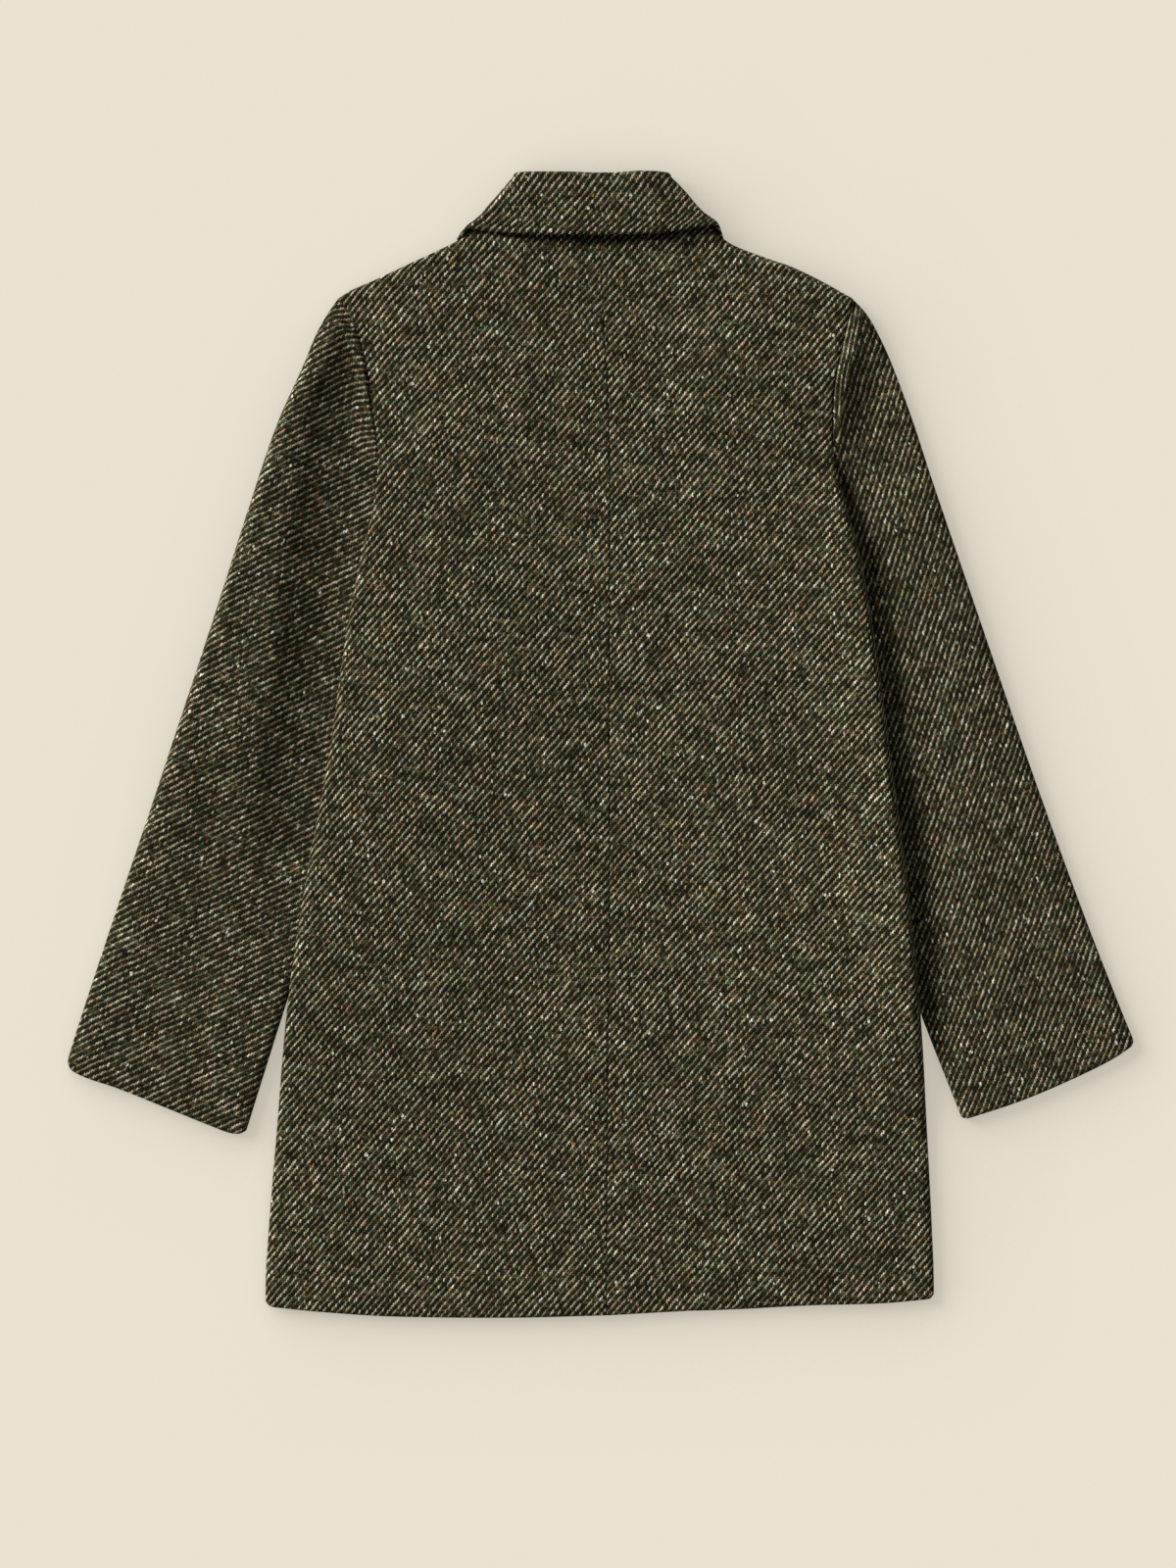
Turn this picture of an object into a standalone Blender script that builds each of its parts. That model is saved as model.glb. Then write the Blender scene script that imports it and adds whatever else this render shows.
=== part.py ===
"""Short tweed coat laid flat on its front, back upwards, sleeves tucked under the sides of the body.

Metres in Blender, millimetres in the tables below. X runs across the coat, towards the wearer's right,
Y runs from the hem to the collar, and Z is up. The coat rests on Z = 0.
"""

import math

import bmesh
import bpy
from mathutils import Vector

for leftover in list(bpy.data.objects):
    bpy.data.objects.remove(leftover)

COAT = bpy.data.collections.new("Short coat")
bpy.context.scene.collection.children.link(COAT)
REST = bpy.data.objects.new("Coat at rest", None)
COAT.objects.link(REST)

MM = 0.001

# The cloth and how its layers lie on each other
CLOTH = 2.5
LAYER_ROOM = 3.8
LIE = 2 * CLOTH + LAYER_ROOM
SLEEVE_GAP = 1.0
COLLAR_GAP = 1.0
LAP_GAP = 0.8
SEAM_GAP = 0.3
CENTRE_GAP = 0.5
NECK_GAP = 0.8
ARMHOLE_GAP = 1.0
SHOULDER_POINT_GAP = 1.2

# A folded edge is a quarter round with a short upright stretch down to the seam at half height
FOLD_STEPS = 3
FOLD_UPRIGHT = 0.75
FOLD_RADIUS = LIE / 2 - FOLD_UPRIGHT - SEAM_GAP / 2

# How an edge turns from a flat seam into a fold, row by row. Columns: share of the turn in, of the drop
FOLD_ONSET = ((0.0, 0.0), (0.4, 0.38), (1.0, 0.74), (1.0, 1.0))

# Neck, lap and collar
NECK_Y = 398.0
NECK_FRONT_DROP = 85.0
NECK_FRONT_POWER = 2.2
FRONT_LAP = 26.0
LAP_RUN = 24.0
COLLAR_FRONT_END = 30.0
COLLAR_POINT_DEPTH = 30.0
COLLAR_SAG = 3.0
COLLAR_ROLL_Y = 438.6

# How far the body is lifted over what lies under it, and how gently it comes down beside it
SLEEVE_LIFT = LIE + SLEEVE_GAP
SLEEVE_KEEP = 18.0
SLEEVE_FADE = 46.0
COLLAR_LIFT = CLOTH + COLLAR_GAP
COLLAR_KEEP = 12.0
COLLAR_FADE = 50.0
ARMPIT_TUCK = 24.0
CAP_FADE = 0.10

# Plan of the edges of each half. Columns: x, y
CENTRE_SEAM = (
    (-1.0, NECK_Y), (2.5, 322.0), (6.5, 232.0), (7.0, 150.0), (6.2, 20.0), (5.4, -200.0), (4.0, -438.3),
)
LEFT = {
    "side": -1,
    "shoulder": (
        (-84.0, NECK_Y), (-112.5, 383.4), (-150.4, 365.4), (-175.0, 353.8), (-191.0, 347.0), (-199.5, 341.6),
    ),
    "armhole": (
        (-199.5, 341.6), (-190.0, 325.5), (-181.0, 298.0), (-175.0, 259.0), (-171.0, 231.0), (-170.0, 206.0),
    ),
    "side_edge": (
        (-170.0, 206.0), (-174.6, 178.0), (-184.3, 138.0), (-196.0, 74.0), (-206.0, 0.0),
        (-225.0, -102.0), (-238.0, -190.0), (-246.3, -292.0), (-254.4, -396.0), (-255.4, -429.0),
    ),
    "hem": ((4.0, -438.3), (-70.0, -439.2), (-160.0, -438.0), (-216.0, -434.0), (-255.4, -429.0)),
    "sleeve_outer": (
        (-199.5, 341.6), (-208.4, 330.0), (-217.0, 314.0), (-226.5, 290.0), (-246.0, 246.0), (-261.6, 202.0),
        (-297.4, 89.6), (-334.0, -23.0), (-372.6, -135.4), (-403.0, -226.0), (-408.8, -246.0),
    ),
    "sleeve_inner": ((-121.0, 150.0), (-164.0, 30.0), (-208.0, -98.0), (-242.0, -203.0), (-272.0, -298.4)),
    "cuff": ((-408.8, -246.0), (-370.0, -262.6), (-332.6, -277.8), (-297.0, -292.0), (-272.0, -298.4)),
}
RIGHT = {
    "side": 1,
    "shoulder": (
        (80.0, NECK_Y), (99.5, 384.0), (128.6, 371.8), (147.0, 364.6), (169.5, 353.6), (191.8, 341.6),
    ),
    "armhole": (
        (191.8, 341.6), (189.0, 323.0), (184.0, 300.0), (179.0, 274.0), (177.6, 248.0), (178.4, 218.0),
    ),
    "side_edge": (
        (178.4, 218.0), (189.4, 178.0), (199.0, 143.0), (210.8, 75.0), (221.0, 0.0),
        (234.4, -100.0), (243.8, -192.0), (249.4, -294.0), (254.2, -396.0), (254.7, -423.0),
    ),
    "hem": ((4.0, -438.3), (62.0, -435.6), (140.0, -431.6), (215.0, -427.6), (254.7, -423.0)),
    "sleeve_outer": (
        (191.8, 341.6), (202.9, 329.8), (212.0, 314.4), (222.4, 292.0), (239.0, 247.0), (253.8, 202.0),
        (291.4, 92.0), (330.0, -21.0), (369.0, -127.0), (397.0, -200.0), (409.0, -228.0),
    ),
    "sleeve_inner": ((113.0, 150.0), (157.0, 30.0), (206.0, -98.0), (247.0, -210.0), (277.6, -287.8)),
    "cuff": ((409.0, -228.0), (362.6, -255.4), (328.0, -270.4), (306.0, -278.2), (277.6, -287.8)),
}

# The collar's fall by height, from its outer edge to the roll line. Columns: y, left edge, right edge
COLLAR_FALL = ((391.5, -106.6, 93.6), (407.0, -93.4, 79.6), (420.0, -80.4, 67.6), (434.0, -66.2, 54.6))
COLLAR_STAND_FOOT = (-83.4, 79.4)

# What lies under the body: the front of the collar and, for each half, the tucked part of the sleeve
UNDER_COLLAR = (
    (-106.0, 396.0), (-88.0, 335.0), (-30.0, 284.0), (34.0, 284.0), (78.0, 335.0), (93.0, 396.0),
)
TUCKED_SLEEVES = (
    (LEFT["armhole"][-1], LEFT["sleeve_inner"][3], LEFT["sleeve_inner"][0]),
    (RIGHT["sleeve_inner"][0], RIGHT["sleeve_inner"][3], RIGHT["armhole"][-1]),
)

# Soft ridges that lift both layers of a sleeve off the surface.
# Columns: share across from the outer edge, width across, share along at the crest, reach along, height
SLEEVE_RIDGES = {
    -1: ((0.10, 0.16, 0.22, 0.30, 4.6), (0.16, 0.20, 0.80, 0.30, 2.0)),
    1: ((0.30, 0.26, 0.30, 0.34, 2.6), (0.22, 0.22, 0.85, 0.30, 1.8)),
}

# Shares along the grids
BACK_NECK = (0.0, 0.34, 0.67)
COLLAR_FRONT = (0.0, 0.25, 0.5, 0.75, 1.0)
COLLAR_BACK = (0.2, 0.4, 0.6, 0.8)
STAND_LEVELS = (0.35, 0.7, 1.0)
ROLL_STEPS = 4
SHOULDER_COLUMNS = 3
LAP_COLUMNS = 4
ROWS_ABOVE_ARMPIT = (0.2, 0.42, 0.64, 0.83)
ROWS_BELOW_ARMPIT = (0.0, 0.05, 0.11, 0.19, 0.28, 0.37, 0.46, 0.55, 0.64, 0.73, 0.82, 0.91, 1.0)
SLEEVE_ROWS = (0.0, 0.03, 0.07, 0.12, 0.18, 0.25, 0.33, 0.41, 0.49, 0.57, 0.65, 0.73, 0.81, 0.89, 0.95, 1.0)
CAP_COLUMNS = (0.25, 0.5, 0.75, 1.0)
TUCKED_COLUMNS = (0.35, 0.7)

TWEED_COLOUR = (0.065, 0.060, 0.036, 1.0)
TWEED_ROUGHNESS = 0.92


def ease(share):
    """0 to 1 with level ends."""
    share = min(1.0, max(0.0, share))
    return share * share * (3.0 - 2.0 * share)


def length_of(points):
    return sum((Vector(b) - Vector(a)).length for a, b in zip(points, points[1:]))


def along(points, share):
    """The point at a share of the length of a smooth curve through the points."""
    points = [Vector(p) for p in points]
    knots = [0.0]
    for before, after in zip(points, points[1:]):
        knots.append(knots[-1] + (after - before).length)
    at = min(1.0, max(0.0, share)) * knots[-1]
    i = max(k for k in range(len(points) - 1) if knots[k] <= at)

    def slope(k):
        low = max(k - 1, 0)
        high = min(k + 1, len(points) - 1)
        return (points[high] - points[low]) / (knots[high] - knots[low])

    span = knots[i + 1] - knots[i]
    t = (at - knots[i]) / span
    return (
        points[i] * (2 * t**3 - 3 * t**2 + 1)
        + slope(i) * span * (t**3 - 2 * t**2 + t)
        + points[i + 1] * (3 * t**2 - 2 * t**3)
        + slope(i + 1) * span * (t**3 - t**2)
    )


def along_to_x(points, x):
    """The point of a curve, whose x only goes one way, that has this x."""
    low, high = 0.0, 1.0
    rising = points[-1][0] > points[0][0]
    for _ in range(30):
        middle = (low + high) / 2
        if (along(points, middle).x < x) == rising:
            low = middle
        else:
            high = middle
    return along(points, low)


def in_turn(first, second):
    """Two curves, end to end, as one function of a share, and the share where they meet."""
    meet = length_of(first) / (length_of(first) + length_of(second))

    def curve(share):
        if share <= meet:
            return along(first, share / meet)
        return along(second, (share - meet) / (1 - meet))

    return curve, meet


def patch(start, end, top, bottom):
    """A plan that fills four edges: start and end run down its sides, top and bottom run across."""

    def plan(across, down):
        sides = start(down) * (1 - across) + end(down) * across
        ends = top(across) * (1 - down) + bottom(across) * down
        upper = top(0) * (1 - across) + top(1) * across
        lower = bottom(0) * (1 - across) + bottom(1) * across
        return sides + ends - upper * (1 - down) - lower * down

    return plan


def distance_outside(point, corners):
    """How far a point is from a convex outline whose corners go round anticlockwise; 0 inside it."""
    gaps = []
    inside = True
    for a, b in zip(corners, corners[1:] + corners[:1]):
        edge = Vector(b) - Vector(a)
        from_a = point - Vector(a)
        if edge.x * from_a.y - edge.y * from_a.x < 0:
            inside = False
        t = min(1.0, max(0.0, from_a.dot(edge) / edge.length_squared))
        gaps.append((from_a - edge * t).length)
    return 0.0 if inside else min(gaps)


def lift(point):
    """Height of the body's underside over the tucked sleeves and the front of the collar."""
    away = distance_outside(point, UNDER_COLLAR) - COLLAR_KEEP
    height = COLLAR_LIFT * ease(1 - away / COLLAR_FADE)
    for corners in TUCKED_SLEEVES:
        away = distance_outside(point, corners) - SLEEVE_KEEP
        height = max(height, SLEEVE_LIFT * ease(1 - away / SLEEVE_FADE))
    return height


def fold_profile():
    """A folded edge from the flat to the seam. Columns: distance in from the edge, drop from the flat."""
    rows = []
    for step in range(FOLD_STEPS):
        turn = math.pi / 2 * step / (FOLD_STEPS - 1)
        rows.append((FOLD_RADIUS * (1 - math.sin(turn)), FOLD_RADIUS * (1 - math.cos(turn))))
    rows.append((0.0, FOLD_RADIUS + FOLD_UPRIGHT))
    return rows


FOLD = fold_profile()


def edge_step(step, onset):
    """(distance in, drop) of one step of an edge that has turned this many rows into a fold."""
    turned, dropped = FOLD_ONSET[min(max(onset, 0), len(FOLD_ONSET) - 1)]
    away, drop = FOLD[step]
    level = FOLD_RADIUS * (1 - step / (len(FOLD) - 1))
    return level + (away - level) * turned, drop * dropped


def front_edge(half):
    """X of the front edge, which laps over the centre line, at the neck."""
    return CENTRE_SEAM[0][0] - half["side"] * FRONT_LAP


def front_neck(half, share):
    """A front's neckline, from its front edge to the neck point."""
    start = Vector((front_edge(half), NECK_Y - NECK_FRONT_DROP))
    end = Vector(half["shoulder"][0])
    return Vector((start.x + (end.x - start.x) * share, start.y + NECK_FRONT_DROP * share**NECK_FRONT_POWER))


def collar_stop(half, share):
    """Share of a front's neckline at a station of the collar, from the collar's end to its side fold."""
    reach = half["shoulder"][0][0] - front_edge(half)
    start = half["side"] * COLLAR_FRONT_END
    end = COLLAR_STAND_FOOT[(half["side"] + 1) // 2] - half["side"] * LIE / 2
    return (start + (end - start) * share - front_edge(half)) / reach


def tweed(name):
    material = bpy.data.materials.new("Tweed of " + name)
    material.use_nodes = True
    shader = material.node_tree.nodes["Principled BSDF"]
    shader.inputs["Base Color"].default_value = TWEED_COLOUR
    shader.inputs["Roughness"].default_value = TWEED_ROUGHNESS
    shader.inputs["Metallic"].default_value = 0.0
    return material


def cloth(name, columns, rows, place, facing, shift=-1.0):
    """One sheet of cloth: a grid of columns by rows, put in place and given its thickness."""
    mesh = bpy.data.meshes.new(name)
    sheet = bmesh.new()
    bmesh.ops.create_grid(sheet, x_segments=columns - 1, y_segments=rows - 1, size=0.5)
    for vert in sheet.verts:
        column = round((vert.co.x + 0.5) * (columns - 1))
        row = round((vert.co.y + 0.5) * (rows - 1))
        vert.co = place(column, row) * MM
    if facing < 0:
        bmesh.ops.reverse_faces(sheet, faces=sheet.faces)
    sheet.to_mesh(mesh)
    sheet.free()
    mesh.shade_smooth()
    mesh.set_sharp_from_angle(angle=math.radians(50))
    mesh.materials.append(tweed(name))
    piece = bpy.data.objects.new(name, mesh)
    COAT.objects.link(piece)
    piece.parent = REST
    wall = piece.modifiers.new("Wall", "SOLIDIFY")
    wall.thickness = CLOTH * MM
    wall.offset = shift
    return piece


def body_panel(name, half, is_back):
    """A back or a front: neck and shoulder above, armhole and folded side outside, hem below."""
    side = half["side"]
    outer, armpit = in_turn(half["armhole"], half["side_edge"])
    inner_shift = side * CENTRE_GAP / 2 if is_back else -side * FRONT_LAP
    neck_drop = 0.0 if is_back else NECK_FRONT_DROP
    hem = ((half["hem"][0][0] + inner_shift, half["hem"][0][1]), *half["hem"][1:])

    if is_back:
        neck_stops = BACK_NECK
    else:
        neck_stops = (0.0, *(collar_stop(half, share) for share in COLLAR_FRONT))
    edge_columns = SHOULDER_COLUMNS + len(FOLD)
    neck_x = half["shoulder"][0][0]
    shoulder_x = half["shoulder"][-1][0]
    inner_x = CENTRE_SEAM[0][0] + inner_shift
    top_x = [inner_x + (neck_x - inner_x) * stop for stop in neck_stops]
    top_x += [neck_x + (shoulder_x - neck_x) * k / edge_columns for k in range(edge_columns + 1)]
    columns = len(top_x)
    flat_columns = columns - len(FOLD)

    def inner(share):
        at = along(CENTRE_SEAM, share)
        down = (CENTRE_SEAM[0][1] - at.y) / (CENTRE_SEAM[0][1] - CENTRE_SEAM[-1][1])
        return Vector((at.x + inner_shift, at.y - neck_drop * (1 - down)))

    def top(share):
        x = inner_x + (shoulder_x - inner_x) * share
        if (x - neck_x) * side > 0:
            return along_to_x(half["shoulder"], x)
        if is_back:
            return Vector((x, NECK_Y))
        return front_neck(half, (x - inner_x) / (neck_x - inner_x))

    plan = patch(inner, outer, top, lambda share: along(hem, share))
    rows = [armpit * share for share in ROWS_ABOVE_ARMPIT]
    rows += [armpit + (1 - armpit) * share for share in ROWS_BELOW_ARMPIT]

    def flat_share(column, width):
        """Share across of a column on the flat of a row, where the lap's columns keep their distance."""
        stops = [0.0]
        if not is_back:
            stops += [abs(neck_x - inner_x) * stop / width for stop in neck_stops[1:LAP_COLUMNS]]
        end = 1 - FOLD_RADIUS / width
        steps = flat_columns - len(stops) + 1
        stops += [stops[-1] + (end - stops[-1]) * k / steps for k in range(1, steps)]
        return stops[column]

    def lapped(at, down):
        """The left front's lap lies on the right front's."""
        if is_back or side > 0:
            return 0.0
        from_lap = inner(down).x - 2 * FRONT_LAP - at.x - (COLLAR_FRONT_END - FRONT_LAP)
        return (CLOTH + LAP_GAP) * ease(1 - from_lap / LAP_RUN)

    def place(column, row):
        # Rows: the shoulder fold from its seam, and then down to the hem
        shoulder_drop = 0.0
        if row < len(FOLD):
            in_by, shoulder_drop = edge_step(len(FOLD) - 1 - row, column - len(neck_stops) + 1)
            down = in_by / length_of(CENTRE_SEAM)
        else:
            down = rows[row - len(FOLD)]
        width = (plan(1.0, down) - plan(0.0, down)).length
        side_drop = 0.0
        if column < flat_columns:
            across = flat_share(column, width)
        else:
            in_by, side_drop = edge_step(column - flat_columns, row - len(FOLD) - len(ROWS_ABOVE_ARMPIT) + 1)
            across = 1 - in_by / width
        at_top = (top_x[column] - inner_x) / (shoulder_x - inner_x)
        across = at_top + (across - at_top) * ease(down / armpit)
        at = plan(across, down)
        drop = max(shoulder_drop, side_drop)
        z = lift(at) + (LIE - drop if is_back else drop + lapped(at, down))
        return Vector((at.x, at.y, z))

    return cloth(name, columns, len(FOLD) + len(rows), place, side if not is_back else -side)


def sleeve(name, half):
    """A one-piece sleeve: a flattened tube, sewn along the edge that lies under the body."""
    side = half["side"]
    armhole, armpit = in_turn(half["armhole"], (half["armhole"][-1], half["sleeve_inner"][0]))
    armpit_y = half["armhole"][-1][1]
    clear = Vector((side * ARMHOLE_GAP, 0.0))
    start = clear * (1 + SHOULDER_POINT_GAP / ARMHOLE_GAP)
    plan = patch(
        lambda share: along(half["sleeve_outer"], share) + start * (1 - share) ** 8,
        lambda share: along(half["sleeve_inner"], share) + clear * (1 - share) ** 8,
        lambda share: armhole(share) + clear * (1 + SHOULDER_POINT_GAP / ARMHOLE_GAP * ease(1 - share / 0.1)),
        lambda share: along(half["cuff"], share),
    )

    def ridge(across, down):
        height = 0.0
        for at, wide, crest, reach, high in SLEEVE_RIDGES[side]:
            height += high * math.exp(-(((across - at) / wide) ** 2) - ((down - crest) / reach) ** 2)
        return height * ease((0.62 - across) / 0.3)

    def cap(at, across, down):
        """The cap keeps level with the body's armhole until it tucks under the body at the armpit."""
        if across > armpit:
            return 0.0
        return lift(at) * ease((at.y - armpit_y) / ARMPIT_TUCK) * ease(1 - down / CAP_FADE)

    # Columns: from the seam along the underside to the outer edge, and back along the upper side
    inner_edge = [("inner", step) for step in range(len(FOLD))]
    outer_edge = [("outer", step) for step in range(len(FOLD) - 1)]
    flat = [("flat", armpit * share) for share in CAP_COLUMNS]
    flat += [("flat", armpit + (1 - armpit) * share) for share in TUCKED_COLUMNS]
    columns = [(-1, *stop) for stop in inner_edge[::-1] + flat[::-1] + outer_edge]
    columns += [(1, *stop) for stop in outer_edge[::-1] + flat + inner_edge]

    def place(column, row):
        layer, kind, which = columns[column]
        down = SLEEVE_ROWS[row]
        width = (plan(1.0, down) - plan(0.0, down)).length
        drop = 0.0
        if kind == "flat":
            across = which
        else:
            in_by, drop = FOLD[which]
            across = in_by / width if kind == "outer" else 1 - in_by / width
        at = plan(across, down)
        middle = LIE / 2 + ridge(across, down) + cap(at, across, down)
        return Vector((at.x, at.y, middle + layer * (LIE / 2 - drop)))

    return cloth(name, len(columns), len(SLEEVE_ROWS), place, side)


def collar(name):
    """A one-piece collar, flattened round the neck: the fall outside, the roll line, and the stand inside."""
    middle_z = COLLAR_LIFT + LIE / 2
    half_cloth = CLOTH / 2
    stand_reach = LIE / 2 - half_cloth
    fall_reach = LIE / 2 + COLLAR_GAP + half_cloth
    roll = (fall_reach - stand_reach) / 2
    roll_y = COLLAR_ROLL_Y - half_cloth - roll

    # Levels from the fall's outer edge over the roll to the foot of the stand.
    # Columns: y, left edge, right edge, half height, depth of the fall, depth of the stand
    levels = []
    for y, left, right in COLLAR_FALL:
        depth = (roll_y - y) / (roll_y - COLLAR_FALL[0][0])
        levels.append((y, left + half_cloth, right - half_cloth, fall_reach, depth, 0.0))
    top_left, top_right = levels[-1][1:3]
    for step in range(ROLL_STEPS + 1):
        turn = math.pi * step / ROLL_STEPS
        inward = roll * (1 - math.cos(turn))
        y = roll_y + roll * math.sin(turn)
        levels.append((y, top_left + inward, top_right - inward, fall_reach - inward, 0.0, 0.0))
    foot_left = COLLAR_STAND_FOOT[0] + half_cloth
    foot_right = COLLAR_STAND_FOOT[1] - half_cloth
    foot = (NECK_Y + NECK_GAP, foot_left, foot_right, stand_reach, 0.0, 1.0)
    last = levels[-1]
    for share in STAND_LEVELS:
        levels.append(tuple(a + (b - a) * share for a, b in zip(last, foot)))

    # Stations round the neck: front end, side fold, back, the other side fold, the other front end
    turns = [k / (2 * FOLD_STEPS - 2) for k in range(2 * FOLD_STEPS - 1)]
    stations = [(LEFT, "front", share) for share in COLLAR_FRONT[:-1]]
    stations += [(LEFT, "turn", share) for share in turns]
    stations += [(LEFT, "back", share) for share in COLLAR_BACK]
    stations += [(RIGHT, "turn", 1 - share) for share in turns]
    stations += [(RIGHT, "front", share) for share in COLLAR_FRONT[:-1][::-1]]

    def place(column, row):
        half, kind, share = stations[column]
        side = half["side"]
        y, left, right, reach, depth, stand = levels[row]
        if kind == "back":
            x = left + reach + (right - left - 2 * reach) * share
            sag = COLLAR_SAG * depth**2 * (1 - (2 * share - 1) ** 2)
            return Vector((x, y - sag, middle_z + reach))
        edge, foot_edge = (left, foot_left) if side < 0 else (right, foot_right)
        side_end = front_neck(half, collar_stop(half, 1.0))
        side_drop = NECK_Y - side_end.y
        if kind == "turn":
            angle = math.pi * (share - 0.5)
            x = edge - side * reach * (1 - math.cos(angle))
            drop = side_drop * stand * (1 - math.cos(angle)) if angle < 0 else 0.0
            return Vector((x, y - drop, middle_z + reach * math.sin(angle)))
        at = front_neck(half, collar_stop(half, share))
        start = edge - side * reach
        x = start + (at.x - side_end.x) * start / (foot_edge - side * stand_reach) - side * NECK_GAP * stand
        drop = NECK_Y - at.y - side_drop * (1 - stand) + COLLAR_POINT_DEPTH * depth * (1 - share)
        return Vector((x, y - drop, middle_z - reach))

    return cloth(name, len(stations), len(levels), place, -1, shift=0.0)


body_panel("back_left", LEFT, True)
body_panel("back_right", RIGHT, True)
body_panel("front_left", LEFT, False)
body_panel("front_right", RIGHT, False)
sleeve("sleeve_left", LEFT)
sleeve("sleeve_right", RIGHT)
collar("collar")
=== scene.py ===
import math
from functools import partial

import bmesh
import bpy
import numpy as np
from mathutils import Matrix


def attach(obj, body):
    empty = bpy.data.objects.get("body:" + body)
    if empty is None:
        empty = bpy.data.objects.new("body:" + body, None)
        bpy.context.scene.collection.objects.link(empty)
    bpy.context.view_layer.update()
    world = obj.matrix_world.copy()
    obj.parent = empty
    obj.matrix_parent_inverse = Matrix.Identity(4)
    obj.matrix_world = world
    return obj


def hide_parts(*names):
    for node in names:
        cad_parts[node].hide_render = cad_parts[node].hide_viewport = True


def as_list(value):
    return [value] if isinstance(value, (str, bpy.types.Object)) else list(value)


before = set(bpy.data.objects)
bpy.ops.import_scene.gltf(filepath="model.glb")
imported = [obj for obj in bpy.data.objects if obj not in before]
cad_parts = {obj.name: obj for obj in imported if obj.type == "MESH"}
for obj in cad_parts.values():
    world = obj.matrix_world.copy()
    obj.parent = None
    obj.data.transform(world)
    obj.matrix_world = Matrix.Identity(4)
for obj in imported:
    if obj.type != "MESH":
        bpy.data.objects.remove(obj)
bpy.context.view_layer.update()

# Short tweed coat laid on its front, back up. Millimetres here, metres in the meshes.
# x runs to the wearer's right, y from the hem to the collar, z up from the surface it lies on.
mm = 0.001

coat = {
    "wall": 2,  # cloth
    "lie": 8.8,  # two layers with the room between them
    "edgeWide": 7.5,  # a folded edge starts to turn this far in
    "edgeDeep": 4.25,  # and drops this far to its seam
    "edgeSteps": 8,  # rows or columns on it
    "shoulderRun": 22,  # a shoulder's fold comes in over this much beside the neck
    "sideAbove": 6,  # a side's fold starts this far above the armpit
    "sideRun": 34,  # and comes in over this height
    "seamStops": (0, 0.6, 1.4, 2.4, 3.8, 6),  # rows or columns beside a seam
    "step": 4.6,  # grid spacing on the flat
    "panelWide": 262,  # a half's width for counting its columns
    "rimBevel": 0.55,
    "neckY": 398,
    "neckRows": 17,  # finer rows this far down from the neck
    "neckStep": 1.2,
    "frontNeckDrop": 85,
    "frontNeckPower": 2.2,
    "frontLap": 26,
    "collarFrontEnd": 30,
    "centreSeam": (
        (-0.4, 398), (3.3, 322), (7.4, 232), (7.7, 150), (7.4, 20), (7.4, -120), (6.6, -220),
        (4.9, -437.4),
    ),
}

leftHalf = {
    "side": -1,
    "shoulder": (
        (-84, 398), (-112.5, 383.8), (-150.4, 366.2), (-175, 354.8), (-191, 348), (-200.3, 342),
    ),
    "armhole": (
        (-200.3, 342), (-190, 325.5), (-181, 298), (-175, 259), (-171, 231), (-170, 206),
    ),
    "sideEdge": (
        (-170, 206), (-174.6, 178), (-184.3, 138), (-196, 74), (-206, 0),
        (-225, -102), (-238.2, -190), (-247.6, -292), (-255.8, -396), (-256.8, -430.4),
    ),
    "hem": ((4.9, -437.4), (-70, -439.2), (-160, -438.2), (-216, -434.6), (-256.8, -430.4)),
    "sleeveOuter": (
        (-200.3, 342), (-208.6, 330), (-217.2, 314), (-227, 290), (-246.4, 246), (-261.8, 202),
        (-297.9, 89.6), (-335.2, -23), (-373.6, -135.4), (-403.4, -226), (-409.6, -247.4),
    ),
    "sleeveInner": ((-121, 150), (-164, 30), (-208, -98), (-242, -203), (-272, -298.4)),
    "cuff": (
        (-409.6, -247.4), (-394.9, -255), (-370, -263.4), (-332.6, -278.4), (-297, -292.8),
        (-283, -297.8), (-272, -298.4),
    ),
}

rightHalf = {
    "side": 1,
    "shoulder": (
        (80, 398), (99.5, 383.4), (128.6, 371.8), (147, 365.6), (169.5, 354.8), (192.6, 342),
    ),
    "armhole": (
        (192.6, 342), (189.4, 323), (184, 300), (179, 274), (177.6, 248), (178.4, 218),
    ),
    "sideEdge": (
        (178.4, 218), (189.4, 178), (199, 143), (210.8, 75), (221, 0),
        (234.4, -100), (243.8, -192), (250.3, -294), (255.3, -396), (255.8, -424.6),
    ),
    "hem": ((4.9, -437.4), (62, -434.2), (140, -430.2), (215, -428.2), (255.8, -424.6)),
    "sleeveOuter": (
        (192.6, 342), (203.6, 329.8), (212.8, 314.4), (223.2, 292), (239.8, 247), (254.5, 202),
        (292.1, 92), (331, -21), (369.4, -127), (397.8, -200), (409.8, -229.4),
    ),
    "sleeveInner": ((113, 150), (157, 30), (206, -98), (247, -210), (277.6, -287.8)),
    "cuff": (
        (409.8, -229.4), (392.6, -241), (362.6, -256), (328, -270.9), (306, -278.8), (277.6, -287.8),
    ),
}

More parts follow.
